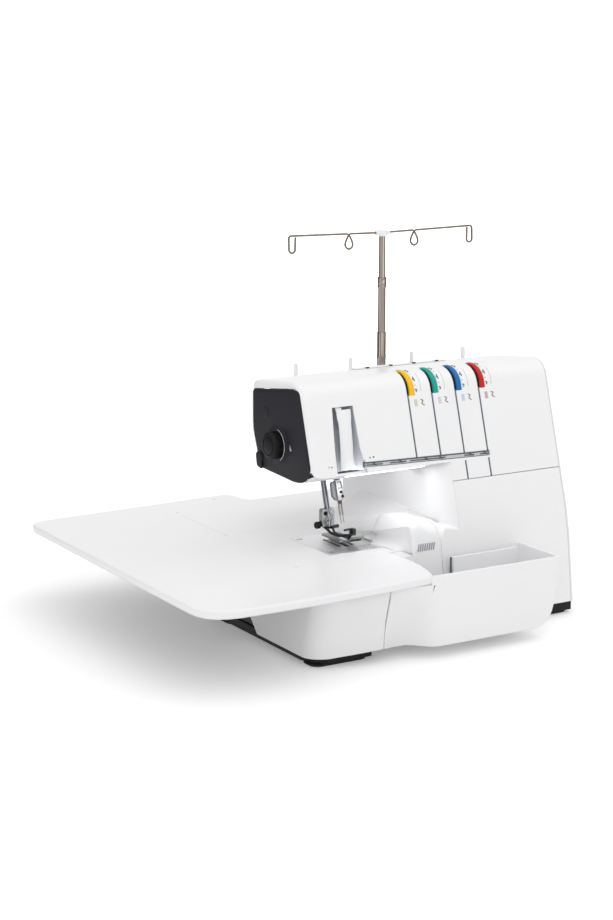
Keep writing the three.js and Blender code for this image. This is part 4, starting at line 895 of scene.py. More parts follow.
def lower_face(z):
    """y of the front below the arm: it leans back a little more with every joint of four straight lines."""
    return np.interp(z, [13, 24, 89, 116, SEAM], [-97.5, -96, -88, -82.3, face_y(SEAM)])


def rim_edge(y):
    """The rim's edge, x and z at a given y: it climbs from the bed at the rear to 118 mm in front."""
    x = np.interp(y, [-77, -14, 30, 84], [43, 38, 34.6, 33.6])
    z = np.interp(y, [-77, -14, 30, 84], [118, 100, 92, 89.4])
    return x, z


def deck_top(x, y):
    """Height of the deck: with u from 0 on the rim's crest to 1 at the pillar, crest + (end - crest) u^0.7,
    where the crest follows a cubic in y through four heights and the end's height falls to the front."""
    crest = np.polyval(np.polyfit([-58, -14, 38, 84], [125.5, 117, 103, 97], 3), y)
    end = np.interp(y, [-78, -58, -14, 37, 84], [112, 116, 118, 119.5, 120])
    start = rim_edge(y)[0] + RIM
    return crest + (end - crest) * np.clip((x - start) / (PILLAR - start), 0, 1) ** 0.7


def bend_end(x):
    """y at which the bend meets the deck: the bend tightens just left of the pillar."""
    return np.interp(x, [80, 84], [-58, -66])


def front_bend(x, t):
    """Points y, z of the bend from the front face (t = 0) to the deck (t = 1): a quadratic curve whose
    corner height is 115.5 + 11.5 (1 - v)^2.2, v from 0 at x = 50 to 1 at x = 85, and falls 3.5 mm further
    right. The curve tightens right of x = 80."""
    v = np.clip((x - 50) / 35, 0, 1)
    corner = 115.5 + 11.5 * (1 - v) ** 2.2 - 3.5 * np.clip((x - PILLAR) / 17, 0, 1)
    low = corner - np.interp(x, [80, 84], [14, 5])
    rear = bend_end(x)
    y = (1 - t) ** 2 * lower_face(low) + 2 * t * (1 - t) * lower_face(corner) + t**2 * rear
    z = (1 - t) ** 2 * low + 2 * t * (1 - t) * corner + t**2 * deck_top(x, rear)
    return y, z


def hood_path(x, f, t, g):
    """y and z along the hood's section for columns x: f up the face, t round the bend, g back over it."""
    bend_foot = front_bend(x, 0.0)[1]
    z1 = 80 + (bend_foot - 80) * f
    y2, z2 = front_bend(x, t)
    y3 = bend_end(x) + (-14.4 - bend_end(x)) * g
    climbing, bending = f < 1, (f >= 1) & (t < 1)
    y = np.where(climbing, lower_face(z1), np.where(bending, y2, y3))
    z = np.where(climbing, z1, np.where(bending, z2, deck_top(x, y3)))
    return y, z


# The rows of that section: four up the face, nine round the bend and ten back over the bed.
UP_FACE = [(f, 0, 0) for f in (0, 0.25, 0.5, 0.75)]
ROUND_BEND = [(1, t / 9, 0) for t in range(9)]
OVER_BED = [(1, 1, g / 9) for g in range(10)]
PATH = np.array(UP_FACE + ROUND_BEND + OVER_BED)


def hood_crest(f, t, g, over):
    """The crest of the hood's rim, a point for each row: it stands 7 mm right of the rim's edge on the leg
    and 14 mm right of it over the bed, where its x and y are brought together in two steps."""
    x = 50 + 5.5 * t + 0 * f
    for _ in range(2):
        y, z = hood_path(x, f, t, g)
        x = np.where(over[:, None], rim_edge(y)[0] + RIM, x)
    return x, y, z


def hood_edge(y, z, leg, bend, over):
    """The left edge of the hood's rim: 3.4 mm behind the face on the leg, then round a corner and on along
    `rim_edge` over the bed."""
    edge = np.zeros((len(PATH), 3))
    edge[leg] = np.stack([0 * y[leg] + 43, y[leg] + 3.4, z[leg]], 2)[:, 0]
    turn = np.linspace(0, 1, bend.sum())
    corner = [(43, -79.6, 112.6), (43, -78.4, 116), (43, -77, 117.8)]
    corner += [(42.8, -73, 117), (42.2, -66, 115), (41.6, -59.6, 113.1)]
    places = np.linspace(0, 1, len(corner))
    edge[bend] = np.stack([np.interp(turn, places, c) for c in np.array(corner).T], 1)
    edge_x, edge_z = rim_edge(y[over])
    edge[over] = np.stack([edge_x, y[over], edge_z], 2)[:, 0]
    return edge


def hood():
    """The looper cover's hood: a section that climbs the lower face, turns back round a wide bend and runs
    over the bed. Along its left lies a rim that widens from 7 mm on the leg to 14 mm on top; from the rim's
    edge a hollow wall fans in and flares out again at its foot."""
    f, t, g = PATH.T[:, :, None]
    leg = (f < 1)[:, 0]
    bend = ((f >= 1) & (t < 1))[:, 0]
    over = ~leg & ~bend
    crest_x, crest_y, crest_z = hood_crest(f, t, g, over)
    edge = hood_edge(crest_y, crest_z, leg, bend, over)
    crest = np.concatenate([crest_x, crest_y, crest_z], 1)
    out, up = RIM_OUT[None, :, None], RIM_UP[None, :, None]
    rim = edge[:, None] + (crest - edge)[:, None] * np.concatenate([out, up, up], 2)
    s = np.linspace(0, 1, len(PATH))
    depth = np.interp(s, [0, 0.17, 0.4, 0.55, 1], [-61, -60.6, -58, -53, -14.4])
    level = np.interp(s, [0, 0.17, 0.4, 0.55, 1], [88.8, 88.9, 89.2, 89.8, 89.0])
    foot = np.stack([edge[:, 0], depth, level], 1)
    wall = edge[:, None] + (foot - edge)[:, None] * FAN[None, :, None]
    wall[:, :, 0] += np.interp(s, [0, 0.17, 0.4, 1], [0.5, 0.6, 1, 1])[:, None] * HOLLOW[None]
    x = crest_x + (DOOR_END - crest_x) * HOOD_COLUMNS[None]
    y, z = hood_path(x, f, t, g)
    outer = np.concatenate([wall, rim, np.stack([x, y, z], 2)], 1)
    return shell(outer, outer + (1.8, 1.8, -1.8))


WALL_STEP = 0.06  # the fixed end's wall stands this far proud of the looper cover's


def cover_end():
    """The fixed end of that shape between the looper cover and the pillar, on the same section."""
    f, t, g = PATH.T[:, :, None]
    x = np.array([77.6, 79, 80.4, 82, 83.4, 84.8])[None] - np.array([0.45, 0.2, 0, 0, 0, 0]) * (f == 1)
    y, z = hood_path(x, f, t, g)
    outer = np.stack([x, y - WALL_STEP * (z < 112), z], 2)
    return shell(outer, outer + (0, 1.8, -1.8))


def shelf_ramp():
    """The front panel's shelf before the pillar: the bend carried on to the right, falling as it goes."""
    t = np.linspace(0, 1, 9)[:, None]
    x = np.array([84.2, 87, 90, 94, 98, 101.9])[None] + 0 * t
    y, z = front_bend(x, t)
    outer = np.stack([x, y - 0.04, z], 2)
    return shell(outer, outer + (0, 1.2, -1.2))


def cover_wall():
    """The wall of the looper cover below the hood: the lower face from the hinge to the tray's rim."""
    x, z = np.meshgrid(np.array([-27, -10, 20, 43, 60, 77]), np.array([16, 24, 45, 66, 80.0]))
    outer = np.stack([x, lower_face(z), z], 2)
    return shell(outer, outer + (0, 2.6, 0))


# Left edge, front and right edge of the fixed cover under the table at these heights.
COVER_HEIGHTS = (8.5, 13, 40, 78.5)
COVER_LEFT = (-103.8, -104, -105, -108)
COVER_FRONT = (-132, -133, -139, -153)
COVER_RIGHT = (-27.3, -27.6, -29.9, -32.8)
COVER_TOP = 78.4
COVER_CORNER = 25  # radius of its corner


def left_cover():
    """The fixed cover under the table: at height z its outline runs along the left end, turns a corner of
    radius 25 mm and follows the front as front - (9.35 u - 3.35 u^2), u from 0 at the corner to 1 at its
    right edge; the rear edge of the left end leans back by 0.82 mm per millimetre of height."""
    bottom = np.concatenate([np.full(12, 8.5), np.linspace(8.6, 10.6, 14), np.linspace(10.9, 13, 9)])[None]
    level = bottom + (COVER_TOP - bottom) * np.linspace(0, 1, 12)[:, None]
    z = np.linspace(8.5, COVER_TOP, 12)[:, None]
    left, front, right = [np.interp(z, COVER_HEIGHTS, c) for c in (COVER_LEFT, COVER_FRONT, COVER_RIGHT)]
    back = 0.82 * (z - 9) - 15
    s = np.linspace(0, 1, 12)[None]
    a = np.pi * (1 + np.linspace(0, 0.5, 15)[None, 1:])
    u = np.linspace(0, 1, 10)[None, 1:]
    mid_x, mid_y = left + COVER_CORNER, front + COVER_CORNER
    x = [left + 0 * s, mid_x + COVER_CORNER * np.cos(a), mid_x + (right - mid_x) * u]
    y = [back + (mid_y - back) * s, mid_y + COVER_CORNER * np.sin(a), front - (9.35 * u - 3.35 * u**2)]
    x, y = np.concatenate(x, 1), np.concatenate(y, 1)
    outer = np.stack([x, y, level], 2)
    run = np.gradient(outer, axis=1)[..., :2]
    run = run / np.linalg.norm(run, axis=2, keepdims=True)
    inner = outer + 2.4 * np.stack([-run[..., 1], run[..., 0], 0 * x], 2)
    return shell(outer, inner)


piece("left_front_cover", outward(left_cover()), "machine", "white_cover", "lower_front_cover", sharp=50)


def cover_step():
    """The wall's short rise beside the table's corner, up to the shelf at the foot of the hood."""
    x, z = np.meshgrid(np.array([30.5, 36, 43.4]), np.array([79, 84, 88.3]))
    outer = np.stack([x, lower_face(z) + 0.1, z], 2)
    return shell(outer, outer + (0, 2.4, 0))


def end_wall():
    """The fixed strip of wall below that end, from the base to the shelf."""
    x, z = np.meshgrid(np.array([77.6, 80, 84.0]), np.array([16, 24, 45, 66, 80.0]))
    outer = np.stack([x, lower_face(z) - WALL_STEP, z], 2)
    return shell(outer, outer + (0, 2.2, 0))


def grip_rib(x):
    """One of the ribs for the finger at the leg's foot: a bar 1.3 mm wide that leans 2.4 mm to the right."""
    rows = []
    for z, across in ((92.4, x), (99.8, x + 2.4)):
        near, far = lower_face(z) - 0.9, lower_face(z) + 0.6
        rows.append([(across, near, z), (across + 1.3, near, z), (across + 1.3, far, z), (across, far, z)])
    return stack(np.array(rows))


hinge = (-27, lower_face(22) + 4.8, 22)
hinge_pin = turned([(0.4, 0), (2.6, 0), (2.6, 104), (0.4, 104)], hinge, (1, 0, 0), 20)
shelf = block(30.5, 43, -86.6, -60.5, 86.2, 88.3)
door = [outward(part) for part in (hood(), cover_wall(), cover_step(), shelf, hinge_pin)]
piece("looper_cover_door", join(*door), "looper_cover", "white_cover", "looper_cover", sharp=50)
ends = [outward(part) for part in (cover_end(), shelf_ramp(), end_wall())]
piece("cover_end", join(*ends), "machine", "white_cover", sharp=50)
# The ribs are grey: painted shade for the dark grooves between them.
ribs = [outward(grip_rib(46.8 + 2.75 * k)) for k in range(8)]
piece("grip_ribs", join(*ribs), "looper_cover", "index_print_and_rib_shade", round_off=0.3)


def deck_grid():
    """The ramp between bed and throat, on the hood's own heights: the hollow wall and the rim shrink
    towards the rear, and the last 4 mm before the throat wall turn up by 3 mm."""
    y = np.array([-13.6, -4, 8, 20, 32, 44, 56, 68, 76, 84])[:, None]
    edge_x, edge_z = rim_edge(y)
    tall = (edge_z - 88.4) / 11.6
    wall = np.stack([edge_x + HOLLOW * tall, y + 0 * FAN, edge_z + (88.4 - edge_z) * FAN], 2)
    crest = deck_top(edge_x + RIM, y)
    rim = np.stack([edge_x + RIM * RIM_OUT, y + 0 * RIM_OUT, edge_z + (crest - edge_z) * RIM_UP], 2)
    start = edge_x + RIM
    x = start + (86.2 - start) * DECK_COLUMNS[None]
    z = deck_top(x, y) + 3 * np.clip((x - 82) / 4, 0, 1) ** 2
    return np.concatenate([wall, rim, np.stack([x, y + 0 * x, z], 2)], 1)


def deck_ramp():
    """That ramp with the wall that closes its rear end, down to just below the bed's top."""
    deck = deck_grid()
    rear = np.stack([deck[-1] * (1, 1, 0) + (0, -0.1, BED - 0.8), deck[-1] - (0, 0.1, 0.1)])
    return join(outward(shell(deck, deck + (1.2, 0, -2.2))), outward(shell(rear, rear - (0, 1.4, 0))))


def bed_plate():
    """The bed's top with the needle plate's opening, and its skirt down to z 30."""
    x = np.array([-82.36, -31.4, 31.4, 37, 84.4])
    y = np.array([-60.3, -42.9, 42.9, 86.3])
    gx, gy = np.meshgrid(x, y, indexing="ij")
    top = np.stack([gx, gy, np.full_like(gx, BED)], 2)
    keep = np.ones((4, 3), bool)
    keep[1, 1] = False
    plate = shell(top, top - (0, 0, 2.8), keep)
    front = block(-82, 84.4, -58, -55.2, 30, 87)
    left = block(-82, -79.2, -57, 83, 30, 87)
    rear = block(-82, 84.4, 81.2, 84, 30, 87)
    return join(outward(plate), outward(front), outward(left), outward(rear))


piece("bed_top", bed_plate(), "machine", "white_cover", "bed_casing", round_off=0.12)
piece("deck_ramp", deck_ramp(), "machine", "white_cover", sharp=50)


def throat():
    """The throat wall: straight along the side of the pillar, then round a quadratic curve into the leaning
    face; its top follows the arm's underside and, behind the arm, the slope of the rear cover."""
    t = np.linspace(0, 1, 12)[:, None]
    straight = np.array([121, 118, 90, 63, 46, 20, -10, -34])
    level = np.linspace(0, 1, 14)[None]
    top = np.interp(straight, [46, 63, 117.5, 121], [176, 164.4, 159.2, 154])[:, None]
    z1 = 90 + (top - 90) * level
    part1 = np.stack([PILLAR + 0 * z1, straight[:, None] + 0 * z1, z1], 2)
    foot = np.interp(t, [0, 0.4, 1], [90, 108.5, 108.5])
    z2 = foot + (176.4 - foot) * level
    end = np.where(z2 > SEAM, face_y(z2), lower_face(z2)) + 0.3
    start, middle, finish = (1 - t) ** 2, 2 * t * (1 - t), t**2
    x2 = start * PILLAR + middle * PILLAR + finish * 102.0
    y2 = start * -40 + middle * (end + 14) + finish * end
    part2 = np.stack([x2 + 0 * z2, y2, z2], 2)
    outer = np.concatenate([part1, part2])
    return shell(outer, outer + (2.2, 1.5, 0))


piece("throat_lining", outward(throat()), "machine", "white_cover", "throat_wall", sharp=50)
line = block(-83.1, -82.8, 87, 190, 88.4, 89.03)
spot = [(1.3, -0.5), (1.3, 0.04), (0.2, 0.04)]
spots = [turned(spot, (x, y, BED), (0, 0, 1), 24) for x, y in ((-81, 205), (-15, 241))]
piece("table_marks", join(line, *[outward(spot) for spot in spots]), "extension_table", "rib_grey")
front_lip = block(-86, 84.3, -64, -60.5, 86.4, 88.99)
left_lip = block(-86, -82.5, -64, 90, 86.4, 88.99)
rear_lip = block(-86, 83.9, 86.5, 90, 86.4, 88.99)
lips = join(outward(front_lip), outward(left_lip), outward(rear_lip))
piece("table_lips", lips, "extension_table", "white_table")


# ---------------------------------------------------------------- needles, presser foot and needle plate
NEEDLE = (5.0, -8.0, 110.0)
PRESSER = (-1.4, 17.5, 139.0)


def leaning(part, base):
    """A part drawn about its own origin, set on `base` and leaned back as the needle bar is."""
    points, faces = part
    return moved((points + np.asarray(base), faces), lean=LEAN, about=base)


def needle_plate():
    """The needle plate, with slots for the feed dogs and stitch fingers: a grid with cells left out."""
    x = np.array([-31, -14, -4.6, -0.6, 2.2, 7.8, 10.6, 14.6, 24, 31.0])
    y = np.array([-42.5, -30, -20, -16, 6, 17, 18, 30, 42.5])
    gx, gy = np.meshgrid(x, y, indexing="ij")
    top = np.stack([gx, gy, np.full_like(gx, BED)], 2)
    keep = np.ones((len(x) - 1, len(y) - 1), bool)
    keep[2, 3:6] = keep[6, 3:6] = False  # the two feed-dog slots
    keep[4, 2:5] = False  # the slot for the needles and the finger
    return shell(top, top - (0, 0, 2.6), keep)


ground = outward(needle_plate())
piece("plate_ground", ground, "machine", "needle_plate", "needle_plate", round_off=0.35, steps=2)
head = [(3.6, -0.4), (3.6, 0.25), (3.1, 0.5), (0.4, 0.5)]
screws = [outward(turned(head, (x, y, BED), (0, 0, 1), 32)) for x, y in ((-24, -33), (-24, 33), (25, 33))]
piece("plate_screws", join(*screws), "machine", "bright_steel", sharp=40)
guides = [block(16.2 + 3.4 * k, 16.7 + 3.4 * k, -41, -22, 88.9, 89.06) for k in range(4)]
guides += [block(-27, -8, -37.4 + 5 * k, -37.0 + 5 * k, 88.9, 89.06) for k in range(3)]
piece("plate_lines", join(*guides), "machine", "number_ink")
knife = outward(block(32.4, 35.4, -20, -4, 70, 91))
piece("upper_knife_blade", knife, "upper_knife", "bright_steel", "upper_knife", round_off=0.3)
finger = prism([(-22, 88.6), (-22, 90.2), (-2, 90.8), (3, 88.6)], 0, 4.8, 5.8)
piece("stitch_finger", outward(finger), "machine", "bright_steel", round_off=0.4)


def at_needle(part):
    """A part drawn about the needles' own origin, set in its place on the leaning needle bar."""
    return leaning(part, NEEDLE)


def clamp_half(corners, round_corner, front, rear, bevel):
    """Half of the needle clamp, drawn in x and z with the plate's middle as its origin."""
    points, faces = slab(rounded_outline(corners, round_corner), front, rear, bevel, axis=1)
    return points - (NEEDLE[0], 0, 0), faces


def clamp_screw(x, z):
    """The head of a clamp screw."""
    profile = [(0.3, -0.6), (1.55, -0.6), (1.55, 0.4), (1.1, 0.7), (0.3, 0.4)]
    return outward(turned(profile, (x, -3.9, z), (0, -1, 0), 24))


left_half = [(-3.2, 31), (-3.2, 43.6), (-1.4, 46.4), (1.7, 46.4), (1.7, 26.6), (-0.2, 26.6)]
right_half = [(1.8, 25.6), (1.8, 47.4), (8.6, 47.4), (9.2, 45.6), (9.2, 28), (7.6, 25.6)]
half = outward(at_needle(clamp_half(left_half, 0.5, -2.4, 1.6, 0.4)))
piece("clamp_grey_half", half, "needle_assembly", "cast_metal", "needle_clamp", sharp=50)
half = outward(at_needle(clamp_half(right_half, 0.8, -3.8, 2.4, 0.5)))
piece("clamp_bright_half", half, "needle_assembly", "bright_steel", sharp=50)
slot_lines = [
    block(-1.6, 3.2, -4.0, -3.2, 44.6, 45.4),
    block(2.5, 3.3, -4.0, -3.2, 38.6, 45.4),
    block(-1.6, 3.2, -4.0, -3.2, 38.2, 39.0),
    clamp_screw(1.4, 34.2),
    clamp_screw(2.8, 29.6),
]
piece("clamp_screws", at_needle(join(*slot_lines)), "needle_assembly", "black_plastic", sharp=50)
needle_bar = turned([(0.4, 47.6), (3.3, 47.6), (3.3, 106), (0.4, 106)], (1, 0, 0), (0, 0, 1), 32)
saddle = rounded_outline([(-3.6, 48.4), (-3.6, 54), (2.4, 54), (2.4, 48.4)], 0.8)
saddle = slab(saddle, -3.2, 3.2, 0.5, axis=1)
bar_end = at_needle(join(outward(needle_bar), outward(saddle)))
piece("needle_bar_end", bar_end, "needle_assembly", "bar_bronze", "needle_bar", sharp=50)
for side, dx in (("left", -1.4), ("right", 2.0)):
    profile = [(0.02, 0), (0.22, 1.6), (0.42, 4), (0.45, 9), (0.9, 11.4), (0.95, 25.6), (0.3, 25.6)]
    needle = at_needle(outward(turned(profile, (dx, 0, 0), (0, 0, 1), 16)))
    piece(f"needle_{side}_ground", needle, "needle_assembly", "needle_steel", f"needle_{side}", sharp=50)
collar = [(0.3, 21.6), (2.0, 21.6), (2.4, 23), (2.4, 25.8), (0.3, 25.8)]
collar = outward(turned(collar, (0.4, 0, 0), (0, 0, 1), 24))
piece("needle_collar", at_needle(collar), "needle_assembly", "bar_bronze", sharp=50)

bar_profile = [(0.3, -25.4), (2.7, -25.4), (3.0, -24.8), (3.0, 76), (0.3, 76)]
presser_bar = leaning(outward(turned(bar_profile, (0, 0, 0), (0, 0, 1), 36)), PRESSER)
piece("presser_rod", presser_bar, "presser_bar_assembly", "edge_steel", "presser_bar", sharp=50)
grooves = [outward(block(-0.5, 0.5, -3.35, -2.7, -22, 20)), outward(block(-2.9, -2.4, -2.2, -1.2, -20, 26))]
piece("presser_rod_flats", leaning(join(*grooves), PRESSER), "presser_bar_assembly", "slot_floor")
plate = rounded_outline([(-11, 109), (-11, 123.4), (-9.6, 125), (-5.6, 125), (-5, 124), (-5, 109)], 0.8)
shank = rounded_outline([(-1.4, 104), (-1.4, 125), (5.8, 125), (5.8, 107), (3.4, 104)], 1.0)
arm = rounded_outline([(-9, 104.6), (-9, 110.6), (0, 110.6), (0, 104.6)], 0.8)
holder = [outward(slab(plate, 7, 14, 0.7, axis=1)), outward(slab(arm, 9.6, 15.6, 0.8, axis=1))]
piece("foot_clamp", join(*holder), "presser_bar_assembly", "satin_steel", "foot_holder", sharp=50)
shank = outward(slab(shank, 9, 15, 1.4, axis=1))
piece("foot_shank", shank, "presser_bar_assembly", "bright_steel", sharp=50)
knob = [(0.3, 0), (1.8, 0), (1.8, 3), (3.6, 3), (3.8, 4), (3.8, 7), (3.2, 8), (0.3, 8.2)]
knob = outward(turned(knob, (-8.6, 12, 107.4), (-1, 0, 0), 32))
ring = [(1.1, -0.4), (2.3, -0.4), (2.3, 0.9), (1.9, 1.3), (1.1, 1.0)]
ring = outward(turned(ring, (-7.2, 7.2, 120.4), (0, -1, 0), 28))
piece("foot_clamp_screw", join(knob, ring), "presser_bar_assembly", "black_plastic", sharp=50)


def worn_in(part):
    """A part of the foot, drawn oversize on the plate, brought to its real size and lifted off the plate."""
    points, faces = part
    return (points - (6, 12, 90)) * (0.85, 0.8, 1.0) + (6, 12, 93.5), faces


def foot_sole():
    """The sole of the foot: lengthwise it lies flat and turns up at the toe as the distance to the power
    2.2; its needle opening and the notch at the left of the toe are cells left out of the grid."""
    x = np.array([-6, -1, 1, 4, 7, 10, 13, 18.0])
    y = np.array([-45, -42, -38, -34, -30, -24, -20, -8, -2, 10, 22.0])
    gx, gy = np.meshgrid(x, y, indexing="ij")
    turn_up = 8.5 * np.clip((-26 - gy) / 19, 0, 1) ** 2.2
    crown = -0.6 * ((gx - 6) / 12) ** 2
    top = np.stack([gx, gy, 92.2 + turn_up + crown], 2)
    keep = np.ones((len(x) - 1, len(y) - 1), bool)
    keep[2:5, 5:8] = False
    keep[0, :5] = False
    return shell(top, top - (0, 0, 2.0), keep)


sole = outward(worn_in(foot_sole()))
piece("foot_sole", sole, "presser_foot", "satin_steel", "presser_foot", round_off=0.4, sharp=35)
arms = []
for run in ((-5.8, -5.8, -5.6, -4.4, -2.6, -1.8), (3.2, 2.6, -0.6, -0.6, 2.4, 6.6)):
    path = list(zip(run, (19, 8, -2, -14, -26, -34), (100.5, 99, 96.4, 96, 97.4, 98.6)))
    arms.append(outward(wire(path, 1.5, 12, 28)))
arms.append(outward(turned([(0.3, 0), (1.9, 0), (1.9, 17), (0.3, 17)], (-4, 12, 100), (1, 0, 0), 20)))
piece("foot_arms", worn_in(join(*arms)), "presser_foot", "foot_dark", sharp=50)
post = rounded_outline([(12.5, 93), (12.5, 102.5), (18, 102.5), (18, 93)], 0.8)
toe = rounded_outline([(-1, 93), (1, 97), (12, 97), (17, 93)], 0.8)
bridge = [
    wire([(3, -19.5, 101.5), (9, -20, 102), (16, -21, 101.6)], 1.2, 12, 12),
    slab(post, -24, -16, 0.6, axis=1),
    slab(toe, -40.5, -34, 0.6, axis=1),
    turned([(0.3, 0), (2.2, 0), (2.2, 3), (0.3, 3.2)], (8, -22, 93), (0, 0, 1), 20),
]
bridge = worn_in(join(*[outward(part) for part in bridge]))
piece("foot_bridge", bridge, "presser_foot", "foot_dark", sharp=50)


# ---------------------------------------------------------------- thread stand
ROD_X = 122  # x of the rods' axis
BAR_WIRE = 1.15  # half the thickness of the guide bar's wire


def rod(name, body, cad_name, profile):
    """One of the telescoping rods, turned about its upright axis."""
    tube = outward(turned(profile, (ROD_X, STAND_Y, 0), (0, 0, 1), 40))
    piece(name, tube, body, "rod_chrome", cad_name, sharp=35)


# Each profile runs up the outside and, where the next rod slides in, down the inside to a floor.
base = [(0.3, 171.5), (10, 171.5), (10, 176.4), (9, 177.4), (4.9, 177.4)]
collar = [(4.9, 262), (5.1, 262.6), (5.1, 266), (4.9, 266.6), (4.9, 291.4), (4.6, 292)]
rod("rod_tube_lower", "machine", "rod_lower", base + collar + [(4.3, 292), (4.3, 178), (0.3, 178)])
shaft = [(0.3, 267), (4.2, 267), (4.2, 341.2)]
collar = [(4.8, 342.2), (4.8, 343.4), (4.6, 343.7), (4.6, 344.2), (4.8, 344.5), (4.8, 352), (4.5, 353)]
rod("rod_tube_middle", "rod_middle", "rod_middle", shaft + collar + [(3.8, 353), (3.8, 268.4), (0.3, 268.4)])
rod("rod_tube_upper", "rod_upper", "rod_upper", [(0.3, 318.5), (3.6, 318.5), (3.6, 398), (0.3, 398)])


def guide_height(x):
    """Height of the guide bar: it rises a little from the hub to each end."""
    return 402 + abs(x - ROD_X) * (0.022 if x < ROD_X else 0.013)


def end_loop(x, side):
    """The long loop at each end: over the top corner, down, round a half turn and up to the bar again."""
    z, out = guide_height(x), x + side * 7.6
    low = z - 14.5
    path = [
        (x - side * 5, STAND_Y, guide_height(x - side * 5)),
        (x + side * 3, STAND_Y, z + 0.1),
        (out - side * 1.6, STAND_Y, z - 0.2),
        (out - side * 0.2, STAND_Y, z - 2.2),
        (out, 99.7, z - 6),
        (out, 99.4, low),
    ]
    middle, half = x + side * 3.9, 3.7
    for a in np.linspace(0, np.pi, 9)[1:]:
        path.append((middle + side * half * math.cos(a), 99.2, low - half * math.sin(a)))
    return path + [(x + side * 0.2, 98.9, z - 8), (x, 98.6, z - 1.4)]


def eye(x):
    """A teardrop loop hanging from the bar: the wire comes down on the right in front, turns 12 to 17 mm
    below the bar and goes up on the left behind, so that it crosses itself under the bar."""
    z = guide_height(x)
    down = [(-5, 100, 0), (-1.8, 100, -0.2), (0.8, 99.4, -3), (3.2, 99, -8), (4.3, 99, -12)]
    up = [(-4.3, 100.8, -12), (-3.2, 100.9, -8), (-0.8, 100.6, -3), (1.8, 100, -0.2), (5, 100, 0)]
    turn = []
    for a in (1.2, 0.6, 0, -0.6, -1.2):
        turn.append((x + 4.0 * math.sin(a), 99.5, z - 12.6 - 4.0 * (1 - abs(a) / 1.57) ** 0.5))
    right = [(x + dx, y, z + dz) for dx, y, dz in down]
    left = [(x + dx, y, z + dz) for dx, y, dz in up]
    return right + turn + left


def bar_run(a, b):
    """A straight stretch of the bar."""
    return wire([(a, STAND_Y, guide_height(a)), (b, STAND_Y, guide_height(b))], BAR_WIRE, 12)


parts = [bar_run(a, b) for a, b in ((15.0, 74.2), (83.4, ROD_X), (ROD_X, 159.4), (168.6, 229.6))]
parts += [wire(end_loop(x, side), BAR_WIRE, 12, 80) for x, side in ((10.5, -1), (234.2, 1))]
parts += [wire(eye(x), 1.1, 12, 90) for x in (78.8, 164.0)]
bar = join(*[outward(part) for part in parts])
piece("guide_wire_bar", bar, "guide_bar", "guide_wire", "guide_bar", sharp=60)
hub = [(0.4, 398.3), (4.9, 398.3), (5.3, 399.2), (5.3, 404.2), (4.7, 405), (0.4, 405.3)]
hub = turned(hub, (ROD_X, STAND_Y, 0), (0, 0, 1), 36)
cheeks = rounded_outline([(113.5, 399.4), (113.5, 404), (130.5, 404), (130.5, 399.4)], 1.2)
cheeks = slab(cheeks, 96.6, 103.4, 0.8, axis=1)
piece("guide_hub", join(outward(hub), outward(cheeks)), "guide_bar", "white_cover", sharp=50)


# ---------------------------------------------------------------- small trims
rail = [(46, 0.15), (58, 0.15), (58, 1.0), (57.2, 1.5), (46.8, 1.5), (46, 1.0)]
rail = prism([(y, top_z(y) + h) for y, h in rail], 0, 54, 172)
# A dark strip at the left end of the tray's rear wall: painted shade for the narrow gap there.
slot = block(84.7, 85.3, -94.6, -92.2, 64.5, 83)
piece("tray_end_gap", outward(slot), "waste_tray", "slot_floor")
corner = [(13.2, -163.78), (14.7, -163.36), (16.15, -162.6), (17.0, -161.3), (17.35, -159.7), (18.4, -159.7)]
corner = prism(corner + [(18.4, -164.0)], 2, 79.4, 88.6)
piece("tray_corner", outward(corner), "waste_tray", "white_cover")
piece("rail_plate", outward(rail), "machine", "white_cover", "thread_guide_rail", round_off=0.4)
notch = [(y, top_z(y) + h) for y, h in ((45.6, 0.5), (52, 0.5), (52, 1.7), (45.6, 1.7))]
notches = [prism(notch, 0, x + 5, x + 9) for x in DIALS]
piece("rail_notches", join(*[outward(n) for n in notches]), "machine", "black_plastic", round_off=0.2)


# ---------------------------------------------------------------- stage
def studio_flags():
    """What a mirror finds at each bearing round the machine, as a level: bright strips and dark flags,
    which give polished tube its stripes. The bearing is the angle of `Way` about the vertical, 0 towards
    the front."""
    tree, come, go = socketed("studio_flags", [("Way", "Vector", (0.0, 0.0, 0.0))], [("Level", "Float")])
    way = come.outputs["Way"]
    ahead = node(tree, "VectorMath", {0: way, 1: (-0.514, -0.858, 0)}, operation="DOT_PRODUCT")
    aside = node(tree, "VectorMath", {0: way, 1: (0.858, -0.514, 0)}, operation="DOT_PRODUCT")
    sides = {0: aside.outputs["Value"], 1: ahead.outputs["Value"]}
    bearing = node(tree, "Math", sides, operation="ARCTAN2")
    turn = node(tree, "MapRange", {"Value": bearing.outputs[0], "From Min": -math.pi, "From Max": math.pi})
    ramp = node(tree, "ValToRGB", {"Fac": turn.outputs[0]})
    stops = [(0.0, 1.0), (0.035, 1.0), (0.06, 0.06), (0.2, 0.1), (0.27, 0.4), (0.5, 0.46), (0.57, 0.46)]
    stops += [(0.61, 1.0), (0.68, 1.0), (0.72, 0.4), (0.78, 0.2), (0.83, 0.06), (0.94, 0.06), (0.965, 1.0)]
    for place, _ in stops[1:-1]:
        ramp.color_ramp.elements.new(place)
    for stop, (place, value) in zip(ramp.color_ramp.elements, stops):
        stop.position, stop.color = place, (value, value, value, 1)
    tree.links.new(ramp.outputs["Color"], go.inputs["Level"])
    return tree


FLAGS = studio_flags()


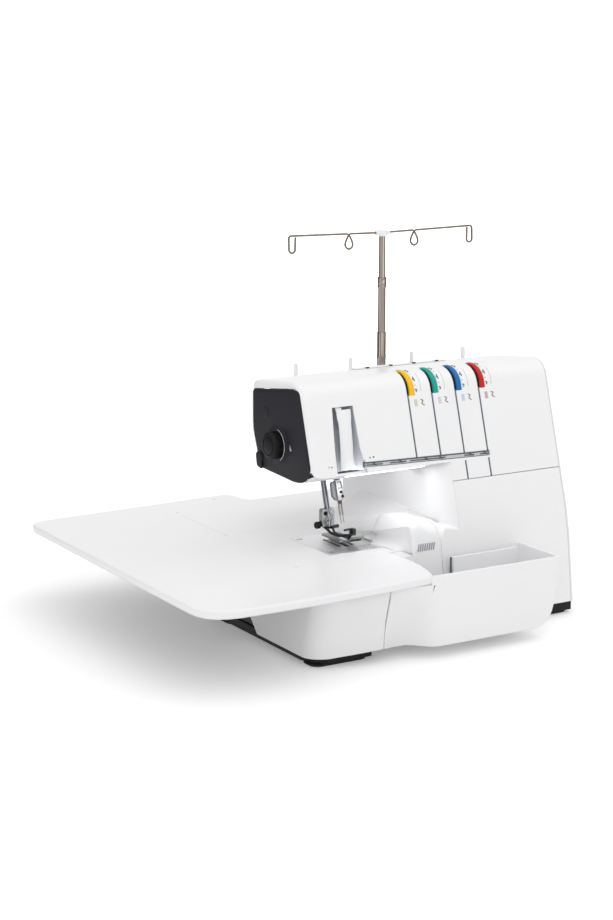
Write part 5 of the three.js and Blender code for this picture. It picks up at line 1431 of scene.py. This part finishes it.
def floor_finish():
    """A pale floor that keeps its shadow: camera and mirrors see it fade to white away from the machine."""
    material, tree, shader = finish_of("studio_floor", 0.7)
    rays = node(tree, "LightPath").outputs
    camera_ray, glossy_ray = rays["Is Camera Ray"], rays["Is Glossy Ray"]
    seen = node(tree, "Math", {0: camera_ray, 1: glossy_ray}, operation="MAXIMUM")
    place = node(tree, "TexCoord").outputs["Object"]
    reach = node(tree, "VectorMath", {0: place}, operation="LENGTH").outputs["Value"]
    fade = {"Value": reach, "From Min": 0.3, "From Max": 1.1, "To Min": 0.22, "To Max": 1.0}
    rise = node(tree, "MapRange", fade, interpolation_type="SMOOTHSTEP")
    flags = node(tree, "Group", {"Way": place}, node_tree=FLAGS).outputs["Level"]
    near = node(tree, "MapRange", {"Value": reach, "From Min": 0.5, "From Max": 0.9}).outputs[0]
    mirrored = node(tree, "Math", {0: glossy_ray, 1: near}, operation="MULTIPLY").outputs[0]
    dim = node(tree, "Mix", {0: mirrored, 2: 1.0, 3: flags}, data_type="FLOAT").outputs[0]
    tone = node(tree, "Math", {0: 0.86, 1: dim}, operation="MULTIPLY").outputs[0]
    tree.links.new(tone, shader.inputs["Base Color"])
    lift = node(tree, "Math", {0: seen.outputs[0], 1: rise.outputs[0]}, operation="MULTIPLY")
    lift = node(tree, "Math", {0: lift.outputs[0], 1: dim}, operation="MULTIPLY")
    shader.inputs["Emission Color"].default_value = (1, 1, 1, 1)
    tree.links.new(lift.outputs[0], shader.inputs["Emission Strength"])
    return material


floor_mesh = bpy.data.meshes.new("studio_floor")
floor_mesh.from_pydata([(-9, -6, 0), (9, -6, 0), (9, 14, 0), (-9, 14, 0)], [], [(0, 1, 2, 3)])
floor = bpy.data.objects.new("studio_floor", floor_mesh)
bpy.context.scene.collection.objects.link(floor)
floor_mesh.materials.append(floor_finish())


def studio_air():
    """The air round the stage: white to the camera, the flags in a mirror, and a soft fill for the rest."""
    world = bpy.data.worlds.new("studio_air")
    world.use_nodes = True
    air = world.node_tree
    back = air.nodes["Background"]
    rays = node(air, "LightPath").outputs
    camera_ray, glossy_ray = rays["Is Camera Ray"], rays["Is Glossy Ray"]
    clear_ray = rays["Is Transmission Ray"]
    seen = node(air, "Math", {0: camera_ray, 1: glossy_ray}, operation="MAXIMUM")
    seen = node(air, "Math", {0: seen.outputs[0], 1: clear_ray}, operation="MAXIMUM")
    way = node(air, "TexCoord").outputs["Generated"]
    mirrored = node(air, "Group", {"Way": way}, node_tree=FLAGS).outputs["Level"]
    height = node(air, "SeparateXYZ", {"Vector": way}).outputs["Z"]
    above = node(air, "MapRange", {"Value": height, "From Min": 0.3, "From Max": 0.55}).outputs[0]
    mirrored = node(air, "Math", {0: mirrored, 1: above}, operation="MAXIMUM").outputs[0]
    mirror_only = node(air, "Math", {0: glossy_ray, 1: mirrored}, operation="MULTIPLY").outputs[0]
    plain = node(air, "Math", {0: camera_ray, 1: clear_ray}, operation="MAXIMUM")
    shown = node(air, "Math", {0: plain.outputs[0], 1: mirror_only}, operation="ADD").outputs[0]
    level = node(air, "Mix", {0: seen.outputs[0], 2: 0.88, 3: shown}, data_type="FLOAT")
    back.inputs["Color"].default_value = (1, 1, 1, 1)
    air.links.new(level.outputs[0], back.inputs["Strength"])
    return world


bpy.context.scene.world = studio_air()


def softbox(name, place, target, size, power):
    """A rectangular area lamp at `place`, aimed at `target`."""
    lamp = bpy.data.lights.new(name, "AREA")
    lamp.shape = "RECTANGLE"
    lamp.size, lamp.size_y = size
    lamp.energy = power
    holder = bpy.data.objects.new(name, lamp)
    bpy.context.scene.collection.objects.link(holder)
    holder.location = place
    aim = np.array(target, float) - np.array(place, float)
    holder.rotation_euler = (
        math.atan2(math.hypot(aim[0], aim[1]), -aim[2]),
        0,
        math.atan2(aim[0], -aim[1]) + math.pi,
    )
    return holder


softbox("top_lamp", (0.5, -0.5, 2.4), (0, 0, 0.1), (2.2, 2.2), 10)
softbox("front_lamp", (-0.9, -2.6, 1.3), (0, 0, 0.15), (1.6, 1.2), 7)
softbox("side_lamp", (2.2, -1.2, 1.2), (0, 0, 0.15), (1.2, 1.2), 2)
softbox("left_lamp", (-2.2, -0.5, 0.55), (0, 0, 0.12), (1.0, 0.8), 3)
under_arm = softbox("work_lamp", (0.034, -0.064, 0.162), (0.03, -0.06, 0), (0.1, 0.06), 0.014)
under_arm.visible_camera = False

camera_data = bpy.data.cameras.new("camera")
camera_data.lens = 82.17
camera_data.sensor_width = 36
camera_data.clip_start, camera_data.clip_end = 0.05, 60
camera = bpy.data.objects.new("camera", camera_data)
bpy.context.scene.collection.objects.link(camera)
camera.location = (-1.144, -1.8788, 0.649)
camera.rotation_euler = (math.radians(90 - 12.3), 0, -math.radians(30.9))
bpy.context.scene.camera = camera
bpy.context.scene.view_settings.view_transform = "Standard"
